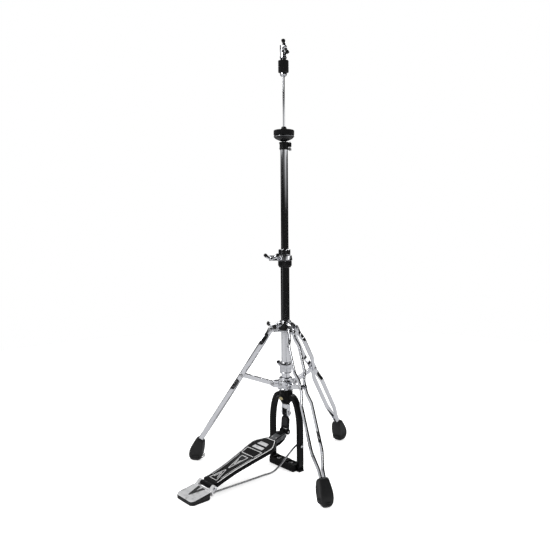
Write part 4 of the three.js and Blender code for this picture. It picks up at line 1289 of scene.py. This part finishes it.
def build_drive():
    """The return spring and its two seats, the yoke and its bolt, and the drive link."""
    seat_low, seat_high = limits("spring_seat")
    radius = seat_high.x
    cup = turned([
        (5, seat_high.z), (radius - 1.6, seat_high.z), (radius, seat_high.z - 1.4), (radius, seat_low.z),
        (5, seat_low.z),
    ], "nylon")
    piece([cup], "spring_seat")
    low, high = limits("spring_cap")
    washer = turned([
        (4.3, high.z), (5.6, high.z), (6, high.z - 2), (high.x, high.z - 2.6), (high.x, low.z), (4.3, low.z),
    ], "zinc")
    piece([washer], "spring_cap")

    low, high = limits("return_spring")
    wire_radius = 0.9
    coil_radius = high.x - wire_radius
    coils, start, end = 9, low.z + wire_radius, high.z - wire_radius
    steps = coils * 16
    helix = []
    for i in range(steps + 1):
        turn = 2 * math.pi * coils * i / steps
        rise = start + (end - start) * i / steps
        helix.append((coil_radius * math.cos(turn), coil_radius * math.sin(turn), rise))
    spring = piece([joined([wire(helix, wire_radius, "spring", sides=2)])], "return_spring")
    row = JOINT_OF["rod_pull"]
    stroke = row["range_m"][1]
    rest = (high.z - low.z) * MM
    (rest - stroke) / rest
    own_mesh(spring)

    # Yoke: a forged fork with a threaded neck and a lock nut
    pin = JOINT_OF["link_swing"]["pos_m"][2] / MM
    half = 12
    top = limits("pull_yoke")[1].z
    head = rounded(prism(rounded_outline((-half, half), (-5.5, 5.5), 2.2), pin + 11.5, top, "chrome"), 1.1)
    parts = [head]
    for side in (-1, 1):
        cheek = [*arc((0, pin - 4.5), 5.5, 180, 360, 10), (5.5, pin + 13), (-5.5, pin + 13)]
        parts.append(put(rounded(slab(cheek, side, 8.8, half, "chrome"), 0.8), edgewise()))
    nut_outline = [(4.4, top), (7.4, top), (7.6, top - 0.6), (7.6, top - 1.6), (4.4, top - 1.6)]
    nut = turned(nut_outline, "zinc", 6, 0.2)
    piece([*parts, nut], "pull_yoke")
    bolt = [put(rod(2.6, -13, 13), toward((0, 0, pin), (1, 0, 0)))]
    for side in (-1, 1):
        outward = toward((side * half, 0, pin), (side, 0, 0))
        washer = turned([(0, 1), (5, 1), (5, GAP), (0, GAP)], "zinc", 32, 0.15)
        top_head = hex_head(4.6, 0.9, 3.6) if side > 0 else dome(4.4, 0.9, 3.6)
        bolt += [put(washer, outward), put(top_head, outward)]
    piece(bolt, "yoke_bolt")
    build_link(pin)


def build_link(pin):
    """The drive link: a black strap with riveted ends that forks round the toe barrel."""
    toe = toe_place()
    drop = Vector((0, toe.y, toe.z - pin))
    reach = drop.length
    lean = math.atan2(drop.y, -drop.z)
    neck, wide, fork = 8.4, 13.5, 9.2
    outline = [(neck - 1.5, 8), (neck, 6.5), (neck, -10.5), (neck + 1.6, -12.6), (wide, -16)]
    outline += [(wide, -reach - 3), (wide - 1, -reach - 5), (fork + 1, -reach - 5)]
    outline += [(fork, -reach - 3), (fork, -reach + 7.6)]
    mirror = [(-x, z) for x, z in reversed(outline)]
    strap = rounded(prism(outline + mirror, -2.5, 2.5, "coat"), 0.8, 3, 30)
    parts = [put(strap, stood())]
    lining = [(6.2, -14), (10.4, -18), (10.4, -reach + 14), (-10.4, -reach + 14), (-10.4, -18), (-6.2, -14)]
    for side in (-1, 1):
        parts.append(put(rounded(slab(lining, side, 2.2, 3.1, "nylon"), 0.3), stood()))
        for x, z in ((6.4, -19.5), (-6.4, -19.5), (7.4, -reach + 17), (-7.4, -reach + 17)):
            parts.append(put(dome(1.5, 2.8, 3.9, "coat"), toward((x, 0, z), (0, side, 0))))
        thick = wide - fork
        knuckle_outline = [(2.9, thick), (6.4, thick), (7.2, thick - 0.8), (7.2, 0.6), (6.6, 0), (2.9, 0)]
        knuckle = turned(knuckle_outline, "coat", 40)
        parts.append(put(knuckle, toward((side * fork, 0, -reach), (side, 0, 0))))
    top = turned([(2.9, neck), (5, neck), (5, -neck), (2.9, -neck)], "coat", 40)
    parts.append(put(top, toward((0, 0, 0), (1, 0, 0))))
    place = moved(0, 0, pin) @ Matrix.Rotation(lean, 4, "X")
    link = joined(parts)
    put(link, place)
    piece([link], "drive_link")


# ---------- pedal ----------


def toe_place():
    """Centre of the toe pin, in millimetres."""
    low, high = limits("toe_pin")
    return (low + high) / 2


def pedal_place():
    """The board's place: its origin on the heel hinge and its Y towards the toe pin."""
    hinge = Vector(JOINT_OF["pedal_press"]["pos_m"])
    run = toe_place() * MM - hinge
    place = Matrix.Rotation(math.atan2(run.z, run.y), 4, "X")
    place.translation = hinge
    return place


def pedal_reach():
    """Distance along the board from the heel hinge to the toe pin."""
    return (toe_place() * MM - Vector(JOINT_OF["pedal_press"]["pos_m"])).length / MM


def board_half(y):
    """The board's half width at a distance from the hinge."""
    line = [*flowing([(x, d) for x, d in BOARD_EDGE], 8), *[Vector(point) for point in BOARD_NOSE]]
    for first, second in zip(line, line[1:]):
        if first.y <= y <= second.y:
            return first.x + (second.x - first.x) * (y - first.y) / (second.y - first.y)
    return line[-1].x


def on_pedal(parts):
    """Joins parts drawn on the flat board and moves them to its slope."""
    made = joined(parts)
    put(made, pedal_place())
    return [made]


def trim_line(points, width=None, height=0.9, cyclic=False):
    """A raised line on the board: a low rounded ridge through points on its face."""
    width = width or sizes().trim_width / MM
    line = [Vector(point) for point in points]
    if cyclic:
        line = [line[-1], *line, line[0]]
    ways = headings(line)
    loops = []
    for point, way in zip(line, ways):
        aside = Vector((-way.y, way.x)) * width / 2
        low, top = BOARD_TOP - 0.4, BOARD_TOP + height
        corners = [(1, low), (0.55, top), (-0.55, top), (-1, low)]
        loops.append([(point.x + aside.x * a, point.y + aside.y * a, z) for a, z in corners])
    if cyclic:
        loops = loops[1:-1]
    return rounded(lofted(loops, "trim"), 0.22, 2, 30)


def barrel_about(bore, half, look):
    """A hinge barrel about Z, from -half to half."""
    side = [(bore, half), (5.5, half), (6, half - 0.6)]
    return turned([*side, *[(r, -z) for r, z in reversed(side)]], look, 48)


def build_footboard():
    """The board with its ribs, raised lines, plates and grip ridges."""
    right = [*flowing(BOARD_EDGE, 4), *[Vector(point) for point in BOARD_NOSE]]
    outline = [(p.x, p.y) for p in right] + [(-p.x, p.y) for p in reversed(right)]
    board = rounded(prism(outline, BOARD_UNDER, BOARD_TOP, "board"), 1.5, 4, 35)
    half = 20.6
    barrel = put(barrel_about(3.1, half, "coat"), toward((0, 0, 0), (1, 0, 0)))
    neck = rounded(brick((-half, half), (2, 14), (-3.6, 3.2), "coat"), 0.8)
    parts = [board, barrel, neck]
    # Stiffening ribs under the board
    for x in (-14, 0, 14):
        rib = brick((x - 1.4, x + 1.4), (26, 168), (BOARD_UNDER - 2.6, BOARD_UNDER + 1), "coat")
        parts.append(rounded(rib, 0.6))
    for y in (44, 80, 116, 150):
        width = board_half(y) - 5
        rib = brick((-width, width), (y - 1.3, y + 1.3), (BOARD_UNDER - 1.8, BOARD_UNDER + 1), "coat")
        parts.append(rounded(rib, 0.5))
    piece(on_pedal(parts), "footboard")

    # Raised border, set in from the edge
    inset = 3.4
    side_line = [(p.x - inset, p.y) for p in flowing(BOARD_EDGE, 4) if p.y > 14]
    nose = [(38.5 - inset - 0.4, 179.5), (31 - 2.3, 188.6), (17.5, 202.4)]
    border = [*side_line, *nose]
    ring = border + [(-x, y) for x, y in reversed(border)]
    lines = [trim_line(ring, cyclic=True)]
    # Long darts down the middle, tip to tip
    dart = [(0.9, 66), (11.5, 118), (-11.5, 118), (-0.9, 66)]
    heel_dart = [(0.9, 58), (13.5, 19), (-13.5, 19), (-0.9, 58)]
    lines += [trim_line(edge_points(shape), 1.3, cyclic=True) for shape in (dart, heel_dart)]
    lines += [trim_line(edge_points([(5.2, 102), (0, 82), (-5.2, 102)], close=False), 1.1)]
    lines += [trim_line(edge_points([(6.4, 26), (0, 46), (-6.4, 26)], close=False), 1.1)]
    for side in (-1, 1):
        flank = [(side * (board_half(y) - 8.4), y) for y in range(30, 123, 6)]
        lines.append(trim_line(flank, 0.9, 0.6))
    # A framed window across the widest part, and two pale plates with a dark bar between them
    window = [(24, 127), (27.5, 150), (-27.5, 150), (-24, 127)]
    lines.append(trim_line(edge_points(window), 1.5, cyclic=True))
    piece(on_pedal(lines), "footboard", "footboard_trim", replaces=False)
    plates = []
    for y0, y1, x0, x1 in ((157, 167, 19, 18), (173, 184.5, 17, 14.5)):
        outline = [(x0, y0), (x1, y1), (-x1, y1), (-x0, y0)]
        plates.append(rounded(prism(outline, BOARD_TOP - 0.5, BOARD_TOP + 0.8, "silver"), 0.4))
    piece(on_pedal(plates), "footboard", "footboard_plates", replaces=False)
    ridges = []
    rows = [(131 + i * 3.1, 21.5, 0.7, 0.45, 0.3) for i in range(6)]
    rows += [(y, 16, 0.35, 0.6, 0.2) for y in (168.6, 170.1, 171.6)]
    for y, width, half_ridge, height, edge in rows:
        levels = (BOARD_TOP - 0.4, BOARD_TOP + height)
        ridge = brick((-width, width), (y - half_ridge, y + half_ridge), levels, "board")
        ridges.append(rounded(ridge, edge))
    piece(on_pedal(ridges), "footboard", "footboard_grip", replaces=False)
    build_toe()


def edge_points(corners, close=True, step=3.0):
    """Evenly spaced points along straight edges, so that a trim line keeps its corners."""
    line = []
    ends = corners[1:] + corners[:1] if close else corners[1:]
    off_corner = 0.12  # how far past its corner each edge's first point stands, in steps
    for first, second in zip(corners, ends):
        start, end = Vector(first), Vector(second)
        count = max(2, round((end - start).length / step))
        line += [start.lerp(end, (i + off_corner) / count) for i in range(count)]
    if not close:
        line.append(Vector(corners[-1]))
    return [tuple(point) for point in line]


def build_toe():
    """The toe plate: a stepped tongue that ends in the toe barrel, with its under-bracket."""
    reach = pedal_reach()
    under = BOARD_UNDER - GAP
    profile = [(172, under - 3.3), (172, under), (207.3, under), (207.3, 1.2), (208.6, 2.2)]
    profile += [(reach - 9, 2.4), (reach - 9, under - 3.3)]
    tongue = put(rounded(prism(profile, -14, 14, "toe"), 0.8), edgewise())
    cheeks = []
    for side in (-1, 1):
        rail = [(209, 1.6), (209, 3.6), (reach - 12, 3.6), (reach - 9.5, 1.6)]
        cheeks.append(put(rounded(slab(rail, side, 12.2, 14.2, "coat"), 0.5), edgewise()))
    barrel = put(barrel_about(2.9, 8.8, "coat"), toward((0, reach, 0), (1, 0, 0)))
    bridge = rounded(brick((-8.6, 8.6), (reach - 22, reach - 2), (-4.6, 3.4), "coat"), 0.8)
    parts = [tongue, *cheeks, barrel, bridge]
    for x in (-8, 8):
        parts.append(put(dome(2.6, 2.2, 3.8), moved(x, 216, 0)))
    piece(on_pedal(parts), "toe_plate")

    # Black strut under the toe plate, bowed from the barrel back to the board
    knots = [(6, -5.5), (16, -13), (32, -16.5), (52, -15), (72, -9)]
    bow = flowing([(reach - back, z) for back, z in knots], 4)
    ways = headings(bow)
    loops = []
    for point, way in zip(bow, ways):
        aside = Vector((-way.y, way.x)) * 1.8
        corners = [(-11, -1), (11, -1), (11, 1), (-11, 1)]
        loops.append([(x, point.x + aside.x * a, point.y + aside.y * a) for x, a in corners])
    strut = rounded(lofted(loops, "coat"), 0.8, 3, 50)
    piece(on_pedal([strut]), "toe_plate", "toe_strut", replaces=False)
    pin = [put(rod(2.6, -14.2, 14.2), toward((0, reach, 0), (1, 0, 0)))]
    for side in (-1, 1):
        pin.append(put(dome(2.5, 13.6, 14.4), toward((0, reach, 0), (side, 0, 0))))
    piece(on_pedal(pin), "toe_pin")


def build_heel():
    """The heel casting, its ribbed face and wedge inlay, its rubber pad and the hinge pin."""
    back, front = limits("heel_plate")[0].y, -257
    half = 32
    slope = moved(0, back, HEEL_END_Z) @ Matrix.Rotation(HEEL_SLOPE, 4, "X")
    length = front - back
    sheet = put(rounded(prism(rounded_outline((-half, half), (0, length), 9), 0, 2.3, "silver"), 0.6), slope)
    parts = [sheet]
    pitch = sizes().rib_pitch / MM
    count = int((length - 8) / pitch)
    for i in range(count):
        y = 5 + i * pitch
        reach = half - 3.4
        if y < 9:
            reach -= 9 - math.sqrt(max(0, 81 - (9 - y) ** 2))
        if y > length - 9:
            reach -= 9 - math.sqrt(max(0, 81 - (y - length + 9) ** 2))
        rib = brick((-reach, reach), (y - 0.75, y + 0.75), (2, 2.95), "silver")
        parts.append(put(rounded(rib, 0.35, 2), slope))
    hinge = Vector(JOINT_OF["pedal_press"]["pos_m"]) / MM
    wall = rounded(brick((-33, 33), (front + GAP, front + 4.5), (7, 16.4), "silver"), 0.8)
    parts.append(wall)
    for side in (-1, 1):
        knuckle = arc((hinge.y, hinge.z), 6, -70, 110, 10)
        ear = [(front - 3.6, 16), (hinge.y - 1, 15.4), *knuckle, (front - 3.6, 18.6)]
        parts.append(put(rounded(slab(ear, side, 21, 31.5, "silver"), 0.8), edgewise()))
        bush = turned([(3.1, 0.9), (5.2, 0.9), (5.2, 0), (3.1, 0)], "nylon", 40, 0.2)
        parts.append(put(bush, toward((side * 20.9, hinge.y, hinge.z), (-side, 0, 0))))
    piece(parts, "heel_plate")

    wedge = [(0, 13), (2.6, 16), (13.5, length - 4), (4.2, length - 4), (0, length - 21), (-4.2, length - 4),
             (-13.5, length - 4), (-2.6, 16)]
    inlay = put(rounded(prism(wedge, 2, 3.3, "nylon"), 0.3), slope)
    rim_line = rounded_outline((-half + 1.6, half - 1.6), (1.6, length - 1.6), 7.6, 6)
    rim_points = [(x, y, 2.4) for x, y in rim_line]
    rim = put(wire(rim_points, 0.7, "silver", cyclic=True, smooth=False, sides=3), slope)
    piece([inlay], "heel_plate", "heel_inlay", replaces=False)
    piece([rim], "heel_plate", "heel_rim", replaces=False)

    build_heel_rubber()
    pin = [put(rod(2.8, -33, 33), toward(hinge, (1, 0, 0)))]
    for side in (-1, 1):
        head = hex_head(4.6, 31.8, 35, "chrome") if side > 0 else dome(4.4, 31.8, 34.8, "chrome")
        pin.append(put(head, toward(hinge, (side, 0, 0))))
    piece(pin, "hinge_pin")


def build_heel_rubber():
    """A moulded pad that fills the space under the heel casting, with a grooved skirt."""
    low, high = limits("heel_rubber")
    outline = rounded_outline((low.x, high.x), (low.y, high.y), 9.6, 6)
    middle = -284  # the line across the pad that it narrows towards

    def top_height(y):
        """Height of the casting's underside over the floor at y."""
        return HEEL_END_Z + (y - low.y - 1) * math.tan(HEEL_SLOPE) - GAP

    # How much of its full width the pad keeps at each share of its height: the dip is a groove
    levels = [(0.965, 0.0), (1.0, 0.12), (1.0, 0.30), (0.975, 0.36)]
    levels += [(0.975, 0.44), (1.0, 0.50), (1.0, 0.86), (0.975, 1.0)]
    loops = []
    for kept, share in levels:
        drawn = [(x * kept, middle + (y - middle) * kept) for x, y in outline]
        loops.append([(x, y, share * top_height(y)) for x, y in drawn])
    piece([rounded(lofted(loops, "rubber"), 0.5, 2, 30)], "heel_rubber")


# ---------- stage ----------


def build_stage():
    """The camera and the floor."""
    stage = bpy.context.scene.stage_setup
    data = bpy.data.cameras.new("camera")
    camera = bpy.data.objects.new("camera", data)
    bpy.context.scene.collection.objects.link(camera)
    bpy.context.scene.camera = camera
    data.lens = stage.lens
    data.sensor_width = 36
    data.clip_start = 0.05
    heading = Matrix.Rotation(stage.azimuth + stage.pan, 4, "Z")
    tilt = Matrix.Rotation(math.pi / 2 - stage.pitch, 4, "X")
    camera.matrix_world = heading @ tilt @ Matrix.Rotation(stage.roll, 4, "Z")
    side = Vector((math.sin(stage.azimuth), -math.cos(stage.azimuth), 0))
    camera.location = side * stage.distance + UP * stage.height
    view = bpy.context.scene.view_settings
    view.view_transform = "Standard"
    view.look = "None"

    # A round pale floor with a soft glow of its own, so that its edge melts into the backdrop
    radius = stage.floor_radius / MM
    floor = prism_plain(oval(radius, radius, 96), -6, -0.05)
    floor.name = "floor"
    floor.data.materials.append(floor_finish())
    build_world()
    build_lights(side)


def prism_plain(outline, low, high):
    """A prism with no finish, in millimetres."""
    count = len(outline)
    points = [Vector((x, y, z)) * MM for z in (low, high) for x, y in outline]
    faces = [tuple(reversed(range(count))), tuple(range(count, 2 * count))]
    faces += [(k, (k + 1) % count, count + (k + 1) % count, count + k) for k in range(count)]
    mesh = bpy.data.meshes.new("prism")
    mesh.from_pydata(points, [], faces)
    made = bpy.data.objects.new("prism", mesh)
    bpy.context.scene.collection.objects.link(made)
    return made


def floor_finish():
    """A plain pale floor. It is dimmer to mirrored rays, or chrome would vanish against it."""
    shader = Shader(bpy.data.materials.new("stage_floor"))
    mirrored = shader.add("ShaderNodeLightPath", output="Is Glossy Ray")
    tint = shader.blend(mirrored, (0.92, 0.92, 0.92), (0.44, 0.44, 0.45))
    glow = shader.blend(mirrored, (1, 1, 1), (0.27, 0.27, 0.27))
    return shader.surface(tint, 0.9, None, Emission_Color=glow, Emission_Strength=0.62)


# The studio's soft panels, as mirrored rays see them: turn from the camera and width in degrees,
# lowest and highest level as the height of a unit direction, softness of those edges, brightness
PANELS = [
    (42, 56, 0.075, 0.19, 0.045, 0.60),
    (-72, 24, -0.17, -0.02, 0.03, 0.06),
    (-20, 40, 0.09, 0.19, 0.03, 0.10),
    (75, 50, 0.13, 0.195, 0.015, 1.4),
    (-75, 50, 0.13, 0.195, 0.015, 1.4),
    (180, 150, 0.42, 0.86, 0.06, 0.70),
    (-130, 36, 0.08, 0.5, 0.05, 0.5),
    (156, 30, 0.08, 0.5, 0.05, 0.4),
    (-38, 26, 0.30, 0.75, 0.05, 1.1),
    (70, 30, 0.40, 0.85, 0.05, 1.1),
]
UNLIT = 0.012  # brightness of the studio between its panels
DIFFUSE_LIGHT = 0.55  # brightness of the world to rays that are neither the camera's nor mirrored


def build_world():
    """White behind the stand, dark where chrome looks out past the floor, with soft panels."""
    world = bpy.data.worlds.new("studio")
    bpy.context.scene.world = world
    shader = Shader(world)
    seen_by_camera = shader.add("ShaderNodeLightPath", output="Is Camera Ray")
    mirrored = shader.add("ShaderNodeLightPath", output="Is Glossy Ray")
    way = shader.add("ShaderNodeTexCoord", output="Generated")
    x, y, z = (shader.add("ShaderNodeSeparateXYZ", inputs={"Vector": way}, output=axis) for axis in "XYZ")
    azimuth = bpy.context.scene.stage_setup.azimuth

    def panel(turn, width, low, high, soft, bright):
        """A soft bright panel of the studio."""
        heading = azimuth + math.radians(turn)
        facing = x * math.sin(heading) - y * math.cos(heading)
        edge = math.cos(math.radians(width) / 2)
        across = shader.span(facing, edge - 0.05, edge + 0.03)
        above = shader.span(z, low - soft, low + soft)
        below = shader.span(z, high - soft, high + soft, 1.0, 0.0)
        return across * above * below * bright

    glow = sum((panel(*row) for row in PANELS), UNLIT)
    indirect = mirrored * glow + (1 - mirrored) * DIFFUSE_LIGHT
    light = seen_by_camera + (1 - seen_by_camera) * indirect
    background = shader.add("ShaderNodeBackground", inputs={"Color": (1, 1, 1, 1), "Strength": light})
    shader.add("ShaderNodeOutputWorld", inputs={"Surface": background})


def build_lights(side):
    """A large soft key from the upper left, a fill from the right and a light from behind."""
    right = Vector((-side.y, side.x, 0))
    plans = [
        ("key_light", side * 1.1 - right * 1.5 + UP * 1.9, 1.2, 26),
        ("fill_light", side * 0.9 + right * 1.7 + UP * 1.3, 1.0, 13),
        ("back_light", side * -1.5 + right * 0.5 + UP * 2.0, 1.1, 16),
    ]
    for name, position, size, power in plans:
        data = bpy.data.lights.new(name, "AREA")
        data.shape = "DISK"
        data.size = size
        data.energy = power
        light = bpy.data.objects.new(name, data)
        light.visible_glossy = name != "fill_light"
        bpy.context.scene.collection.objects.link(light)
        aim = Vector((0, 0, 0.4)) - position
        light.matrix_world = Matrix.Translation(position) @ aim.to_track_quat("-Z", "Y").to_matrix().to_4x4()


# ---------- operators, panel and registration ----------


class STAND_OT_stage(bpy.types.Operator):
    """Adds the camera, the pale floor, the backdrop and the lights"""

    bl_idname = "stand.stage"
    bl_label = "Stage"

    def execute(self, context):
        build_stage()
        return {"FINISHED"}


class STAND_OT_clutch(bpy.types.Operator):
    """Builds the clutch with its nuts, felts and wing bolt"""

    bl_idname = "stand.clutch"
    bl_label = "Clutch"

    def execute(self, context):
        build_clutch()
        return {"FINISHED"}


class STAND_OT_seat(bpy.types.Operator):
    """Builds the cymbal seat, the tilter base and the tilt screw"""

    bl_idname = "stand.seat"
    bl_label = "Cymbal seat"

    def execute(self, context):
        build_seat()
        return {"FINISHED"}


class STAND_OT_column(bpy.types.Operator):
    """Builds the two column tubes and the two pull rods"""

    bl_idname = "stand.column"
    bl_label = "Column"

    def execute(self, context):
        build_column()
        return {"FINISHED"}


class STAND_OT_height_clamp(bpy.types.Operator):
    """Builds the height clamp, its bush, its wing nut and the memory lock"""

    bl_idname = "stand.height_clamp"
    bl_label = "Height clamp"

    def execute(self, context):
        build_height_clamp()
        return {"FINISHED"}


class STAND_OT_hubs(bpy.types.Operator):
    """Builds the tripod's hubs, its clamp and their wing bolts"""

    bl_idname = "stand.hubs"
    bl_label = "Tripod hubs"

    def execute(self, context):
        build_hubs()
        return {"FINISHED"}


class STAND_OT_legs(bpy.types.Operator):
    """Builds the leg strips and their pivot bolts"""

    bl_idname = "stand.legs"
    bl_label = "Legs"

    def execute(self, context):
        build_legs()
        return {"FINISHED"}


class STAND_OT_braces(bpy.types.Operator):
    """Builds the tripod's braces and their pivot bolts"""

    bl_idname = "stand.braces"
    bl_label = "Braces"

    def execute(self, context):
        build_braces()
        return {"FINISHED"}


class STAND_OT_feet(bpy.types.Operator):
    """Builds the rubber feet"""

    bl_idname = "stand.feet"
    bl_label = "Feet"

    def execute(self, context):
        build_feet()
        return {"FINISHED"}


class STAND_OT_pull_frame(bpy.types.Operator):
    """Builds the frame block, its arms and its base bar"""

    bl_idname = "stand.pull_frame"
    bl_label = "Pull frame"

    def execute(self, context):
        build_frame_block()
        build_arms()
        build_base()
        return {"FINISHED"}


class STAND_OT_radius_rods(bpy.types.Operator):
    """Builds the two rods between the heel and the pull frame"""

    bl_idname = "stand.radius_rods"
    bl_label = "Radius rods"

    def execute(self, context):
        build_radius_rods()
        return {"FINISHED"}


class STAND_OT_drive(bpy.types.Operator):
    """Builds the return spring, the yoke and the drive link"""

    bl_idname = "stand.drive"
    bl_label = "Drive"

    def execute(self, context):
        build_drive()
        return {"FINISHED"}


class STAND_OT_footboard(bpy.types.Operator):
    """Builds the footboard with its raised lines, plates and toe plate"""

    bl_idname = "stand.footboard"
    bl_label = "Footboard"

    def execute(self, context):
        build_footboard()
        return {"FINISHED"}


class STAND_OT_heel(bpy.types.Operator):
    """Builds the heel plate, its rubber pad and the hinge pin"""

    bl_idname = "stand.heel"
    bl_label = "Heel"

    def execute(self, context):
        build_heel()
        return {"FINISHED"}


OPERATORS = (
    STAND_OT_stage, STAND_OT_clutch, STAND_OT_seat, STAND_OT_column, STAND_OT_height_clamp, STAND_OT_hubs,
    STAND_OT_legs, STAND_OT_braces, STAND_OT_feet, STAND_OT_pull_frame, STAND_OT_radius_rods, STAND_OT_drive,
    STAND_OT_footboard, STAND_OT_heel,
)
SETTINGS = {"stand_sizes": StandSizes, "stand_colours": StandColours, "stage_setup": StageSetup}


class VIEW3D_PT_stand(bpy.types.Panel):
    """Lists the stand's pieces and its settings"""

    bl_label = "Hi-hat stand"
    bl_space_type = "VIEW_3D"
    bl_region_type = "UI"
    bl_category = "Hi-hat stand"

    def draw(self, context):
        for kind in OPERATORS:
            self.layout.operator(kind.bl_idname)
        for name, kind in SETTINGS.items():
            for prop in kind.__annotations__:
                self.layout.prop(getattr(context.scene, name), prop)


def register():
    """Registers the settings, operators and panel."""
    for kind in (*SETTINGS.values(), *OPERATORS, VIEW3D_PT_stand):
        bpy.utils.register_class(kind)
    for name, kind in SETTINGS.items():
        setattr(bpy.types.Scene, name, bpy.props.PointerProperty(type=kind))


def unregister():
    """Takes away what register added."""
    for name in SETTINGS:
        delattr(bpy.types.Scene, name)
    for kind in (VIEW3D_PT_stand, *reversed(OPERATORS), *SETTINGS.values()):
        bpy.utils.unregister_class(kind)


def main():
    """Builds everything in order."""
    register()
    for kind in OPERATORS:
        getattr(bpy.ops.stand, kind.bl_idname.split(".")[1])()


if __name__ == "__main__":
    main()
